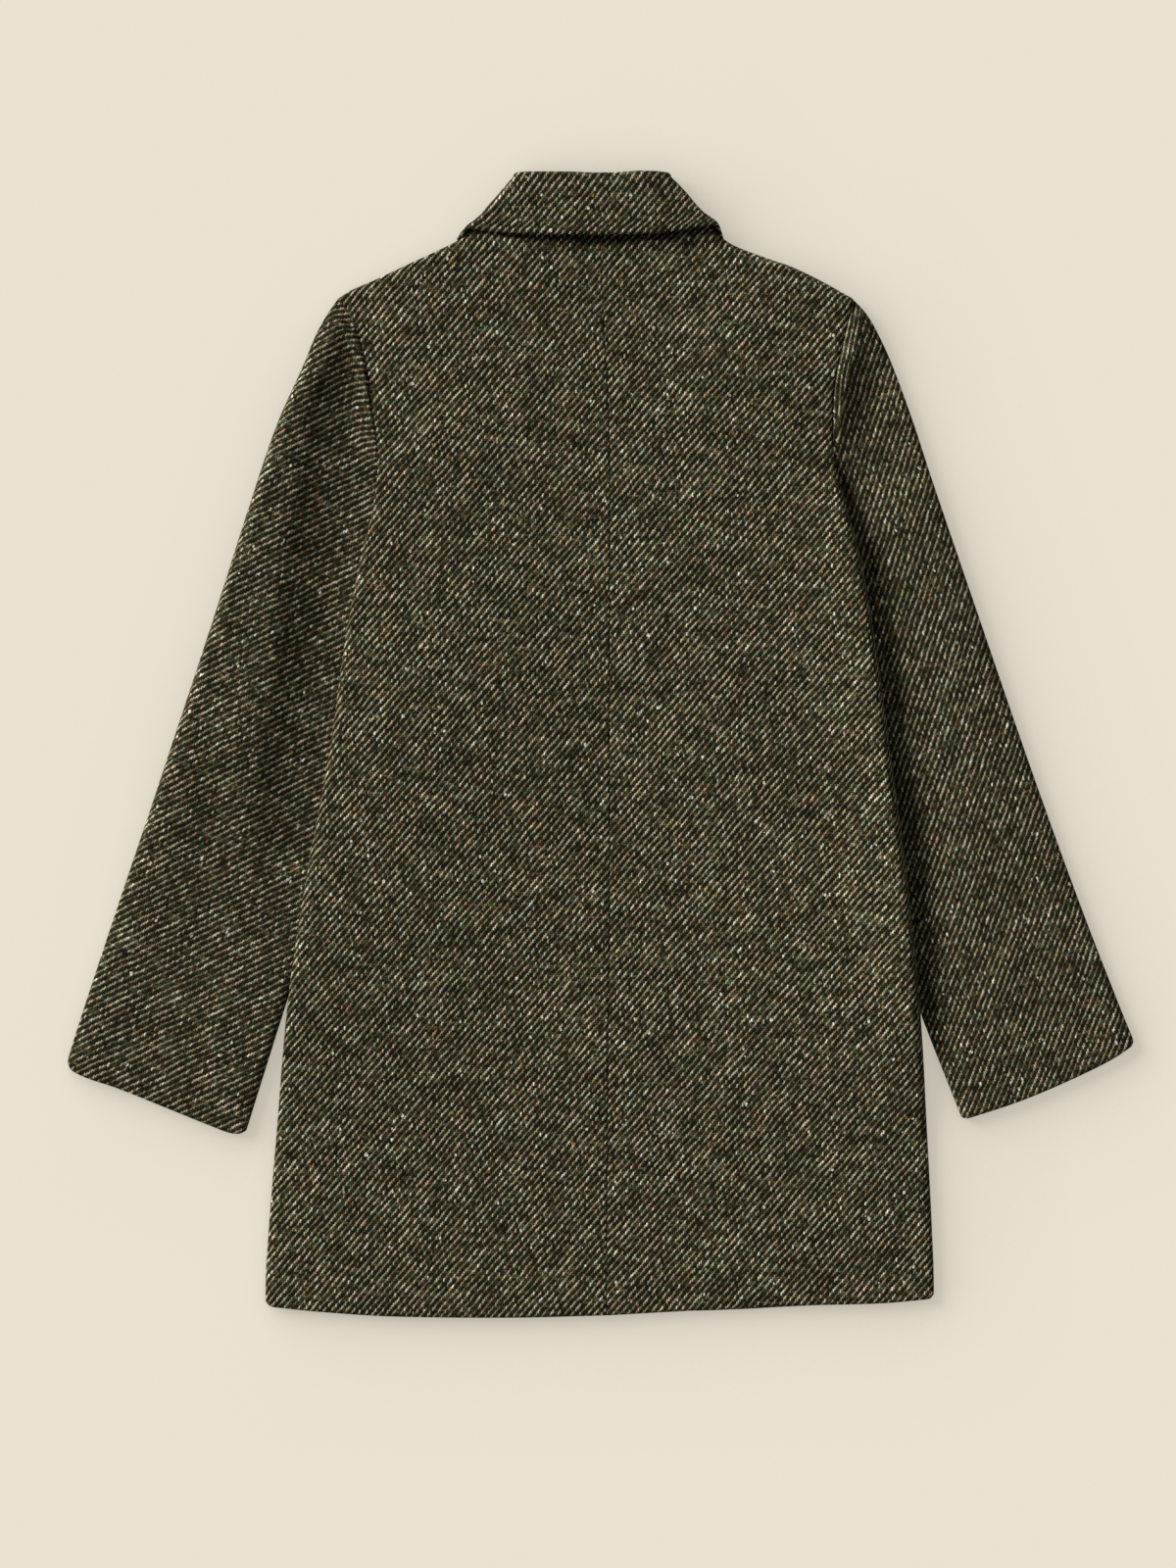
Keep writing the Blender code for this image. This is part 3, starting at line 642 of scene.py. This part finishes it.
def bodyPanel(half, isBack):
    side = half["side"]
    outer, _ = oneAfterOther(half["armhole"], half["sideEdge"])
    armpitY = half["armhole"][-1][1]
    innerShift = -side * (back["seamMeet"] if isBack else coat["frontLap"])
    neckDrop = 0.0 if isBack else coat["frontNeckDrop"]
    hemUp = 0.0 if isBack else front["lapHemUp"]
    seam = coat["centreSeam"]
    hem = ((half["hem"][0][0] + innerShift, half["hem"][0][1] + hemUp), *half["hem"][1:])
    neckX = back["neckEnd"][side] if isBack else half["shoulder"][0][0]
    shoulderX = half["shoulder"][-1][0]
    innerX = seam[0][0] + innerShift
    shoulder = ((neckX, coat["neckY"]), *half["shoulder"][1:])
    shoulderLine = runAlong(shoulder, np.linspace(0, 1, 400))[::side]

    def inner(share):
        at = runAlong(seam, share)
        below = (seam[0][1] - at[..., 1]) / (seam[0][1] - seam[-1][1])
        ys = at[..., 1] - neckDrop * (1 - below) + hemUp * below ** front["lapHemPower"]
        return np.stack((at[..., 0] + innerShift, ys), axis=-1)

    def top(share):
        xs = innerX + (shoulderX - innerX) * share
        ys = np.interp(xs, *shoulderLine.T)
        toNeck = np.clip((xs - innerX) / (neckX - innerX), 0, 1)
        neck = coat["neckY"] - neckDrop * (1 - toNeck ** coat["frontNeckPower"])
        return np.stack((xs, np.where((xs - neckX) * side > 0, ys, neck)), axis=-1)

    length = lengthOf(seam)
    folds = edgeStops(coat["edgeWide"], coat["edgeSteps"])
    seamStops = np.array(coat["seamStops"])
    fromTop = np.concatenate((
        folds[::-1],
        np.arange(folds[0], coat["neckRows"], coat["neckStep"])[1:],
        np.linspace(coat["neckRows"], length - seamStops[-1], int(length / coat["step"]))[:-1],
        length - seamStops[::-1],
    ))
    down = (fromTop / length)[:, None]
    width = np.linalg.norm(outer(down) - inner(down), axis=-1)
    across = acrossStops(width, seamStops, int(coat["panelWide"] / coat["step"]), folds)
    down = np.broadcast_to(down, across.shape)
    plan = fillEdges(inner, outer, top, lambda share: runAlong(hem, share), across, down)
    shoulderIn, hemIn = down * length, (1 - down) * length
    seamIn, sideIn = across * width, (1 - across) * width
    inward, upward = roundCorner(sideIn, hemIn, back["hemCorner"][side])
    x, y = plan[..., 0] - side * inward, plan[..., 1] + upward
    onShoulder = ease((x - neckX) * side / coat["shoulderRun"])
    onSide = ease((armpitY + coat["sideAbove"] - y) / coat["sideRun"])
    if isBack:
        lift, besideCollar = liftOver(x, y)
        puff = back["puff"][side] * bump(sideIn, back["puffWide"])
        puff *= within(y, back["puffFrom"], back["puffRun"], armpitY, back["puffTopRun"])
        armhole = back["armholeDip"][side] * (1 - onSide)
        armhole *= ease((y - armpitY + back["armholeBelow"]) / back["armholeRun"])
        sideDeep = (coat["edgeDeep"] + puff) * onSide + armhole
        drop = np.maximum(
            foldDrop(shoulderIn, coat["edgeWide"], coat["edgeDeep"] + besideCollar) * onShoulder,
            foldDrop(sideIn, coat["edgeWide"], 1.0) * sideDeep,
        )
        seamDrop = back["seamDip"][side] * bump(seamIn, back["seamWide"])
        least, topY, topRun = back["seamTop"]
        drop = drop + seamDrop * (least + (1 - least) * ease((topY - y) / topRun))
        grooveY, grooveDeep = readTable(x, back["groove"])
        drop = drop + ridge(y, grooveDeep, grooveY, back["grooveHalf"])
        drop = drop + foldDrop(hemIn, back["hemWide"], back["hemDeep"])
        z = lift + coat["lie"] + puff - drop + creaseHeight(x, y, back["creases"][side])
        name, shift, finish = "cloth_back", back["grainShift"][side], backTweed
    else:
        overSleeve = liftUnder(x, y) / under["sleeveLift"]
        x = x - side * front["sideTuck"] * overSleeve * ease(1 - sideIn / front["sideTuckRun"])
        rise = np.maximum(
            foldDrop(shoulderIn, coat["edgeWide"], front["edgeDeep"]) * onShoulder,
            foldDrop(sideIn, coat["edgeWide"], front["edgeDeep"]) * onSide * (1 - overSleeve),
        )
        z = liftUnder(x, y) + rise + np.maximum(creaseHeight(x, y, front["creases"][side]), 0.0)
        z = z + foldDrop(hemIn, front["hemWide"], front["hemDeep"])
        if side < 0:
            fromLap = inner(down)[..., 0] - coat["frontLap"] - coat["collarFrontEnd"] - x
            z = z + front["lapUp"] * ease(1 - fromLap / front["lapRun"])
        else:
            y = y - ridge(x, *front["hemPeek"]) * ease(1 - hemIn / front["hemPeekRun"])
        name, shift, finish = "cloth_front", front["grainShift"][side], frontTweed
    grain = grainOnFlat(x, y, z) + shift
    if not isBack:
        grain[..., 0] *= -1.0  # seen from below
    name += "_left" if side < 0 else "_right"
    return layCloth(name, x, y, z, grain, flip=(side > 0) == isBack, finish=finish)


backLeft = bodyPanel(leftHalf, True)
backRight = bodyPanel(rightHalf, True)
print("backs laid")
frontLeft = bodyPanel(leftHalf, False)
frontRight = bodyPanel(rightHalf, False)
print("fronts laid")

sleeve = {
    "edgeWide": 9,
    "outerCorner": {-1: 6.5, 1: 4},
    "innerCorner": {-1: 4.5, 1: 4},
    "innerFold": 0.96,  # how far the hidden edge closes
    "cuffWide": 3,
    "cuffDeep": 1.3,
    "cuffUnder": 0.6,  # share of it below
    "headStops": (9, 12, 12.4),  # more rows below its head
    "innerSteps": 6,
    "topColumns": 58,
    "lowColumns": 34,
    "armholeSteps": 100,
    "armholeGap": 0.12,
    "gapPower": 8,  # gone a little way down
    "pointGap": 0.1,  # added at the shoulder point
    "pointRun": 0.1,
    "tuck": 24,  # the cap dives under the body over this height
    "capFade": 0.1,
    "settle": 10,  # level at the seam, over this run
    "creaseRun": 2.5,
    "seamDip": 0.6,
    "seamWide": {-1: 1.9, 1: 2},
    "seamRun": 30,
    "grainTurn": {-1: 24, 1: -18.5},
    "grainBend": {-1: -2.3, 1: -3.4},  # turns on by this much up the sleeve
    "bendSpan": (-220, 110),
    "grainScale": {-1: 0.93, 1: 1},
    "grainShift": {-1: (8000, 0), 1: (10000, 0)},
    "grainColumn": 30,  # cloth coordinates are the plan's here
    # left: outer part stands up, falls most steeply along this line, then ever less down to the body
    "dropLine": (
        (-197, 330), (-201.5, 306), (-204.5, 290), (-210.5, 275), (-216.4, 256.9),
        (-237.4, 111.4), (-256.9, -67.9), (-270, -180),
    ),
    "dropSpan": (-170, 190, 338, 34),  # spans: from y, over, to y, over
    "dropShape": (  # y, start, slope, run
        (200, 17, 0.49, 44), (240, 17, 0.52, 44), (262, 17, 0.54, 40), (276, 14, 0.57, 34),
        (292, 9, 0.68, 23), (308, 9, 0.66, 21), (336, 9, 0.5, 14),
    ),
    # right: a roll stands up along the armhole, level with the raised back, and falls away from it
    "rollShape": (  # y, crest, drop of its face, steepest place, slope, run, groove at the seam
        (200, 1.5, 0.2, 5, 0.46, 29, 0.3), (236, 2.5, 0.2, 8, 0.54, 31, 0.9),
        (262, 5, 0.4, 10.5, 0.54, 30, 0.8), (278, 5.4, 0.7, 11, 0.5, 30, 0.1),
        (300, 6, 0.9, 12, 0.42, 30, 0), (336, 6, 1, 12, 0.26, 36, 0),
    ),
    "rollSpan": (204, 36, 346, 24),
    "grooveAt": (2.3, 1.7),  # middle, half width
    "sink": (-2.4, 25, 14),  # the trough beside it sinks lower: height, middle, half width
    "sinkSpan": (220, 46, 312, 40),
    "weltWide": 12.2,  # its ribs run along the armhole
    "weltEnd": 232,
    "weltRun": 26,
    "weltScale": 1.2,
    "stripWide": 12,  # left: its ribs level out beside the armhole
    "stripTurn": 0.46,
    "stripSoft": 3,
    "stripRun": 40,
    "creases": {
        -1: (
            (((-198, 331), (-186, 303), (-180.3, 278), (-175.4, 240)), 3.4, 1.9),
            (((-300, 20), (-330, -90), (-352, -190)), 15, 1.3),
            (((-330, -10), (-366, -120), (-388, -220)), 12, -0.9),
            (((-268, -120), (-290, -200), (-308, -272)), 14, 1),
        ),
        1: (
            (((250, 150), (284, 50), (318, -60)), 18, 1.4),
            (((330, -60), (354, -140), (374, -220)), 14, 1.2),
            (((280, -120), (300, -200), (318, -262)), 13, -1),
        ),
    },
    # right: pressed down along the body's edge, then up to a low ridge
    "besideEdge": ((-4.2, 0, 20), (2, 52, 26)),
    "edgeSpan": (-300, 140, 230, 50),
    "underTo": 0.62,  # ridges below, as shares across from the outer edge
    "underRun": 0.3,
    "underRidges": {  # middle and half width across, then along, height
        -1: ((0.1, 0.16, 0.22, 0.3, 4.6), (0.16, 0.2, 0.8, 0.3, 2)),
        1: ((0.3, 0.26, 0.3, 0.34, 2.6), (0.22, 0.22, 0.85, 0.3, 1.8)),
    },
}


def fallAway(inBy, start, slope, run):  # level, then steepest at 0, then ever less
    before = np.clip(-inBy, 0.0, start)
    after = np.clip(run - np.maximum(inBy, 0.0), 0.0, run)
    return slope * (before - before**2 / (2 * start) + after**2 / (2 * run))


def sleeveTube(half):
    side = half["side"]
    armhole, armpit = oneAfterOther(half["armhole"], (half["armhole"][-1], half["sleeveInner"][0]))
    armpitY = half["armhole"][-1][1]
    clear = np.array((side * sleeve["armholeGap"], 0.0))
    atPoint = 1 + sleeve["pointGap"] / sleeve["armholeGap"]

    def fade(share):
        return ((1 - share) ** sleeve["gapPower"])[..., None]

    def outer(share):
        return runAlong(half["sleeveOuter"], share) + clear * atPoint * fade(share)

    def inner(share):
        return runAlong(half["sleeveInner"], share) + clear * fade(share)

    def head(share):
        more = (atPoint - 1) * ease(1 - share / sleeve["pointRun"])
        return armhole(share) + clear * (1 + more)[..., None]

    length = lengthOf(half["sleeveOuter"])
    seamStops = np.array(coat["seamStops"] + sleeve["headStops"])
    cuffStops = length - np.array(coat["seamStops"][::-1])
    rowStops = np.linspace(seamStops[-1], cuffStops[0], int(length / coat["step"]))
    fromTop = np.concatenate((seamStops, rowStops[1:-1], cuffStops))
    down = (fromTop / length)[:, None]
    width = np.linalg.norm(inner(down) - outer(down), axis=-1)
    ends = np.array((1.0, 0.97))  # the cuff, and a little above it
    outerEnd, innerEnd = outer(ends), inner(ends)
    alongCuff, upOuter, upInner = (
        run / np.linalg.norm(run)
        for run in (innerEnd[0] - outerEnd[0], outerEnd[1] - outerEnd[0], innerEnd[1] - innerEnd[0])
    )
    outerFolds = edgeStops(sleeve["edgeWide"], coat["edgeSteps"])
    innerFolds = edgeStops(coat["edgeWide"], sleeve["innerSteps"])

    def layer(count, isTop):
        across = acrossStops(width, outerFolds[::-1], count, innerFolds)
        rows = np.broadcast_to(down, across.shape)
        plan = fillEdges(outer, inner, head, lambda share: runAlong(half["cuff"], share), across, rows)
        outIn, inIn, cuffIn = across * width, (1 - across) * width, (1 - rows) * length
        inward, upward = roundCorner(outIn, cuffIn, sleeve["outerCorner"][side])
        plan = plan + inward[..., None] * alongCuff + upward[..., None] * upOuter
        inward, upward = roundCorner(inIn, cuffIn, sleeve["innerCorner"][side])
        plan = plan - inward[..., None] * alongCuff + upward[..., None] * upInner
        x, y = plan[..., 0], plan[..., 1]
        fromHead = rows * length
        cap = ease((y - armpitY) / sleeve["tuck"]) * ease(1 - rows / sleeve["capFade"])
        cap = np.where(across > armpit, 0.0, cap)
        lowZ = np.zeros_like(x)
        for at, wide, crest, reach, high in sleeve["underRidges"][side]:
            lowZ += ridge(across, high, at, wide) * bump(rows - crest, reach)
        lowZ = lowZ * ease((sleeve["underTo"] - across) / sleeve["underRun"]) + cap * liftUnder(x, y)
        highZ = creaseHeight(x, y, sleeve["creases"][side]) * ease(fromHead / sleeve["creaseRun"])
        if side < 0:
            inBy = x - xAt(y, sleeve["dropLine"])
            strong = within(y, *sleeve["dropSpan"]) * ease(fromHead / sleeve["settle"])
            highZ += strong * fallAway(inBy, *readTable(y, sleeve["dropShape"]))
            highZ += cap * liftOver(x, y)[0]
        else:
            outBy = x - xAt(y, half["sideEdge"])
            fromSeam = x - xAt(y, half["armhole"], sleeve["armholeSteps"])
            crest, face, steepest, slope, run, groove = readTable(y, sleeve["rollShape"])
            roll = fallAway(fromSeam - steepest, steepest - crest, slope, run)
            roll -= face * np.clip(1 - fromSeam / crest, 0, 1) ** 2
            roll -= ridge(fromSeam, groove, *sleeve["grooveAt"])
            highZ += roll * within(y, *sleeve["rollSpan"])
            highZ += ridge(fromSeam, *sleeve["sink"]) * within(y, *sleeve["sinkSpan"])
            for shape in sleeve["besideEdge"]:
                highZ += ridge(outBy, *shape) * within(y, *sleeve["edgeSpan"])
        seamDip = foldDrop(fromHead, sleeve["seamWide"][side], sleeve["seamDip"])
        highZ = highZ + coat["lie"] - seamDip * ease((y - armpitY) / sleeve["seamRun"])
        bulge = 1 - foldDrop(outIn, sleeve["edgeWide"], 1.0)
        bulge -= foldDrop(inIn, coat["edgeWide"], sleeve["innerFold"])
        middleZ, halfZ = (highZ + lowZ) / 2, (highZ - lowZ) / 2 * bulge
        tip = foldDrop(cuffIn, sleeve["cuffWide"], sleeve["cuffDeep"])
        z = middleZ + halfZ - tip if isTop else middleZ - halfZ + tip * sleeve["cuffUnder"]
        return x, y, z

    top = layer(sleeve["topColumns"], True)
    low = layer(sleeve["lowColumns"], False)
    x, y, z = (np.concatenate((low[k][:, ::-1], top[k][:, 1:]), axis=1) for k in range(3))
    crest = low[0].shape[1] - 1

    # Cloth coordinates: as seen on top, carried on round the outer edge below
    grain = np.stack((x, y), axis=-1)
    rowRun = grain[:, -1] - grain[:, crest]
    rowRun /= np.linalg.norm(rowRun, axis=1)[:, None]
    flatGap = gapsOf(grain)
    arc = np.hypot(flatGap, np.diff(z, axis=1))
    extra = addUp((arc - flatGap)[:, crest:])
    extra = extra - extra[:, [sleeve["grainColumn"]]]
    grain[:, crest:] += rowRun[:, None] * extra[..., None]
    below = np.cumsum(arc[:, :crest][:, ::-1], axis=1)[:, ::-1]
    grain[:, :crest] = grain[:, crest:crest + 1] - rowRun[:, None] * below[..., None]

    # The ribs turn on up the sleeve, and beside the armholes
    bendFrom, bendTo = sleeve["bendSpan"]
    bend = math.radians(sleeve["grainBend"][side]) / (bendTo - bendFrom)
    risen = np.maximum(grain[..., 1] - bendFrom, 0.0)
    inSpan = np.minimum(risen, bendTo - bendFrom)
    fromMiddle = grain[..., 0] - (x[:, crest] + x[:, -1])[:, None] / 2
    grain[..., 0] -= bend * inSpan * (risen - inSpan / 2)
    grain[..., 1] += bend * inSpan * fromMiddle
    onTop = y[:, crest:]
    fromSeam = x[:, crest:] - xAt(onTop, half["armhole"], sleeve["armholeSteps"])
    if side < 0:
        inStrip = np.maximum(fromSeam + sleeve["stripWide"], 0.0)
        inStrip *= inStrip / (inStrip + sleeve["stripSoft"])
        grain[:, crest:, 1] += sleeve["stripTurn"] * inStrip * ease((onTop - armpitY) / sleeve["stripRun"])
    turn = math.radians(sleeve["grainTurn"][side])
    turned = np.array(((math.cos(turn), math.sin(turn)), (-math.sin(turn), math.cos(turn))))
    grain = grain * sleeve["grainScale"][side] @ turned + sleeve["grainShift"][side]
    if side > 0:
        wide = sleeve["weltWide"] * ease((onTop - sleeve["weltEnd"]) / sleeve["weltRun"])
        welt = fromTop[:, None] < wide
        rib = np.array((tweed["end"], tweed["pick"])) / math.hypot(tweed["end"], tweed["pick"])
        across = np.array((rib[1], -rib[0])) * sleeve["weltScale"]
        along = sleeve["grainShift"][side] + rib * onTop[..., None] + across * fromSeam[..., None]
        grain[:, crest:][welt] = along[welt]
    name = "cloth_sleeve_left" if side < 0 else "cloth_sleeve_right"
    return layCloth(name, x, y, z, grain, flip=side < 0, finish=sleeveTweed)


sleeveLeft = sleeveTube(leftHalf)
sleeveRight = sleeveTube(rightHalf)
print("sleeves laid")

collar = {
    "fall": (
        (391.5, -109.2, 93.8), (396, -105.8, 92.4), (400, -99.4, 87.9), (406, -92, 80.5),
        (413, -85.4, 73.4), (420, -78.8, 67.8), (427, -73.2, 61.3), (434, -66.8, 54.3),
    ),
    "edgeLine": (  # lower edge of the fall
        (-105, 394.2), (-93, 393.2), (-80, 391.7), (-65, 390.5), (-45, 389.9), (-24, 389.3),
        (1, 389), (20, 389.4), (36, 389.8), (50, 391), (65, 393.4), (76, 395.2),
        (85, 396), (92, 396.4),
    ),
    "topLine": (  # how far the roll rises above rollY
        (-62, -0.2), (-56, 0.1), (-24, 0), (-6, -0.8), (11, -0.7), (30, 0.7), (44, 0.3),
        (51, -0.2),
    ),
    "standFoot": (-83.4, 79.4),
    "rollY": 437.5,
    "pointDepth": 30,
    "neckGap": 0.8,
    "standIn": 1.25,  # stand and fall lie this far in and out from the two layers
    "fallOut": 3.5,
    "edgeLevels": (0, 0.5, 1.1, 1.7, 2.3, 3.6, 5.2),  # rows up from the fall's edge
    "fallLevels": (399, 434, 12),
    "rollLevels": 11,
    "standLevels": 8,
    "frontStops": 15,
    "turnStops": 15,
    "backStops": 52,
    # seam turnings inside hold the fall's edge off the back, by x
    "edgeRise": (
        (-105, 0.2), (-90, 0.6), (-75, 1.2), (-52, 2.2), (-30, 3.2), (0, 3.7), (20, 3.8),
        (35, 2.7), (60, 1.2), (80, 2), (94, 2.8),
    ),
    "risePower": 4,  # this and its line go mostly into the edge
    # the roll stands up, by x
    "rollRise": ((-105, 0), (-88, 0), (-62, 2.6), (-30, 3.3), (94, 3)),
    "edgeRoll": 1.2,  # the fall's edge turns down to the body
    "edgeRollWide": 2,
    "endOut": {-1: 1, 1: 0.8},
    "endDown": 5.5,
    "turnFrom": {-1: 1, 1: 0.9},
    "turnRun": 0.4,
    "grainShift": (12000, 9),
    "grainScale": 0.977,
}


def collarCloth():
    lie, half = coat["lie"], coat["wall"] / 2
    middleZ = under["collarLift"] + lie / 2
    standReach = lie / 2 - collar["standIn"]
    fallReach = lie / 2 + collar["fallOut"] - half
    roll = (fallReach - standReach) / 2
    rollY = collar["rollY"] - half - roll
    edgeY = collar["fall"][0][0]
    levels = []  # y, left, right, reach, depth of the fall, depth of the stand
    fallRows = np.concatenate((edgeY + np.array(collar["edgeLevels"]), np.linspace(*collar["fallLevels"])))
    for y in fallRows:
        left, right = readTable(y, collar["fall"])
        levels.append((y, left + half, right - half, fallReach, (rollY - y) / (rollY - edgeY), 0.0))
    topLeft, topRight = levels[-1][1:3]
    for turn in np.linspace(0, math.pi, collar["rollLevels"]):
        inward = roll * (1 - math.cos(turn))
        ends = (topLeft + inward, topRight - inward)
        levels.append((rollY + roll * math.sin(turn), *ends, fallReach - inward, 0.0, 0.0))
    footLeft, footRight = collar["standFoot"][0] + half, collar["standFoot"][1] - half
    foot = (coat["neckY"] + collar["neckGap"], footLeft, footRight, standReach, 0.0, 1.0)
    last = levels[-1]
    for share in np.linspace(0, 1, collar["standLevels"])[1:]:
        levels.append(tuple(p + (q - p) * share for p, q in zip(last, foot)))

    fronts = np.linspace(0, 1, collar["frontStops"])[:-1]
    turns = np.linspace(0, 1, collar["turnStops"])
    runs = (
        (leftHalf, "front", fronts), (leftHalf, "turn", turns),
        (leftHalf, "back", np.linspace(0, 1, collar["backStops"])[1:-1]),
        (rightHalf, "turn", turns[::-1]), (rightHalf, "front", fronts[::-1]),
    )
    stations = [(piece, kind, share) for piece, kind, shares in runs for share in shares]

    def frontStop(piece, share):  # point of a front's neckline at a station
        side = piece["side"]
        edgeX = coat["centreSeam"][0][0] - side * coat["frontLap"]
        endX = piece["shoulder"][0][0]
        fromX = side * coat["collarFrontEnd"]
        toX = collar["standFoot"][(side + 1) // 2] - side * lie / 2
        stop = (fromX + (toX - fromX) * share - edgeX) / (endX - edgeX)
        startY = coat["neckY"] - coat["frontNeckDrop"]
        rise = coat["frontNeckDrop"] * stop ** coat["frontNeckPower"]
        return edgeX + (endX - edgeX) * stop, startY + rise

    def atX(x, key):
        return readTable(x, collar[key])[0]

    def place(piece, kind, share, level):
        side = piece["side"]
        y, left, right, reach, depth, stand = level
        deep = depth ** collar["risePower"]
        shallow = (1 - depth) ** 2 * (1 - stand)
        tip = 0.0
        if stand == 0.0:
            tip = collar["edgeRoll"] * max(0.0, 1 - (y - edgeY) / collar["edgeRollWide"]) ** 2
        across = share if kind == "back" else (side + 1) / 2
        x = left + reach + (right - left - 2 * reach) * across
        tip -= atX(x, "edgeRise") * deep * (1 - stand)
        tip -= atX(x, "rollRise") * (reach - standReach) / (fallReach - standReach)
        if kind == "back":
            sag = (edgeY - atX(x, "edgeLine")) * deep - atX(x, "topLine") * shallow
            return x, y - sag, middleZ + reach - tip
        edge, footEdge, end = (left, footLeft, 0) if side < 0 else (right, footRight, -1)
        sideX, sideY = frontStop(piece, 1.0)
        sideDrop = coat["neckY"] - sideY
        if kind == "turn":
            angle = math.pi * (share - 0.5)
            x = edge - side * reach * (1 - math.cos(angle))
            lower = sideDrop * stand * (1 - math.cos(angle)) if angle < 0 else 0.0
            around = ease(1 - share) if share > 0.5 else 1.0
            x += side * collar["endOut"][side] * deep * float(around) * math.cos(angle)
            turned = float(ease((collar["turnFrom"][side] - share) / collar["turnRun"]))
            endUp = collar["edgeLine"][end][1] - edgeY
            lower += deep * (collar["endDown"] * turned - endUp * (1 - turned))
            lower -= collar["topLine"][end][1] * shallow
            return x, y - lower, middleZ + (reach - tip * (angle > 0)) * math.sin(angle)
        stopX, stopY = frontStop(piece, share)
        start = edge - side * reach
        along = (stopX - sideX) * start / (footEdge - side * standReach)
        drop = coat["neckY"] - stopY - sideDrop * (1 - stand)
        drop += collar["pointDepth"] * depth * (1 - share) + collar["endDown"] * deep
        return start + along - side * collar["neckGap"] * stand, y - drop, middleZ - reach

    spots = np.array([[place(*station, level) for station in stations] for level in levels])
    x, y, z = np.moveaxis(spots, -1, 0)
    centre = len(stations) // 2
    around = addUp(gapsOf(spots))
    upward = addUp(gapsOf(spots[:, centre]))
    around = around - around[:, [centre]]
    grain = np.stack((around, np.broadcast_to(upward[:, None], x.shape)), axis=-1)
    grain = grain * collar["grainScale"] + collar["grainShift"]
    return layCloth("cloth_collar", x, y, z, grain, flip=True, finish=collarTweed, shift=0.0)


collarPiece = collarCloth()
print("collar laid")

# Which solid each piece stands for, its slot, the size of its cut, and what it lies on
cuts = (
    (backLeft, "back_left", "tweed_back", (0.26, 0.84), 0.180, ["front_left"]),
    (backRight, "back_right", "tweed_back", (0.26, 0.84), 0.175, ["front_right"]),
    (frontLeft, "front_left", "tweed_front", (0.29, 0.84), 0.195, ["sleeve_left", "front_right"]),
    (frontRight, "front_right", "tweed_front", (0.29, 0.84), 0.192, ["sleeve_right", "collar"]),
    (sleeveLeft, "sleeve_left", "tweed_sleeve", (0.36, 0.66), 0.159, []),
    (sleeveRight, "sleeve_right", "tweed_sleeve", (0.36, 0.66), 0.154, []),
    (collarPiece, "collar", "tweed_collar", (0.46, 0.12), 0.030, ["back_left", "back_right"]),
)
for piece, node, slotName, flatSize, flatArea, restsOn in cuts:
    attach(piece, "root")
    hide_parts(node)
    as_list(restsOn)

stage = {
    "floorSize": 6.0,
    "floorDrop": 0.3,
    "floor": {
        "Base Color": (0.15, 0.14, 0.1195, 1.0), "Roughness": 0.9, "Specular IOR Level": 0.0,
        "Emission Strength": 1.0,
    },
    "floorGlow": (0.681, 0.635, 0.537, 1.0),
    "paintedShadows": (  # painted shadow on the floor's glow: lean away from upright, reach, samples, brightness by how open the floor is
        (64.0, 0.11, 14, ((0.8, 0.845), (0.86, 0.87), (0.9, 0.91), (0.94, 0.965), (0.97, 1.0))),
        (0.0, 0.06, 6, ((0.0, 0.72), (1.0, 1.0))),
    ),
    "skyColour": (1.0, 0.985, 0.955, 1.0),
    "skyStrength": 0.23,
    "sunStrength": 4.85,
    "sunSoftness": 30.0,
    "sunFrom": 150.0,  # degrees round from +x
    "sunHeight": 27.0,
    "cameraAt": (-9.4, -30.4, 3009.0),
    "lens": 90.0,
}


def setStage():
    plane = bmesh.new()
    bmesh.ops.create_grid(plane, x_segments=8, y_segments=8, size=stage["floorSize"] / 2)
    bmesh.ops.translate(plane, verts=plane.verts, vec=(0, 0, -stage["floorDrop"] * mm))
    mesh = bpy.data.meshes.new("floor")
    plane.to_mesh(mesh)
    plane.free()
    floor = addToScene("floor", mesh)
    paper = bpy.data.materials.new("pale paper")
    paper.use_nodes = True
    dress, make, spot, ramp, dye = nodeTools(paper.node_tree)[:5]
    turn = math.radians(stage["sunFrom"])
    glow = stage["floorGlow"]
    # Painted shadow on the floor's glow: soft, close to the coat, most on its far side from the light
    for degrees, reach, samples, stops in stage["paintedShadows"]:
        tilt = math.radians(degrees)
        lean = spot(math.sin(tilt) * math.cos(turn), math.sin(tilt) * math.sin(turn), math.cos(tilt))
        openTo = make("AmbientOcclusion", {"Distance": reach, "Normal": lean}, "AO", samples=samples)
        glow = dye(glow, ramp(openTo, [(place, (bright,) * 3) for place, bright in stops]))
    dress({"Emission Color": glow, **stage["floor"]})
    mesh.materials.append(paper)

    world = bpy.context.scene.world or bpy.data.worlds.new("studio")
    bpy.context.scene.world = world
    world.use_nodes = True
    sky = world.node_tree.nodes["Background"]
    sky.inputs["Color"].default_value = stage["skyColour"]
    sky.inputs["Strength"].default_value = stage["skyStrength"]

    light = bpy.data.lights.new("window", "SUN")
    light.energy = stage["sunStrength"]
    light.angle = math.radians(stage["sunSoftness"])
    light.color = stage["skyColour"][:3]
    lamp = addToScene("window", light)
    lamp.rotation_euler = (0.0, math.radians(90.0 - stage["sunHeight"]), turn)

    lens = bpy.data.cameras.new("camera")
    lens.lens = stage["lens"]
    camera = addToScene("camera", lens)
    camera.location = [value * mm for value in stage["cameraAt"]]
    bpy.context.scene.camera = camera
    bpy.context.scene.view_settings.view_transform = "Standard"


setStage()
print("stage set")
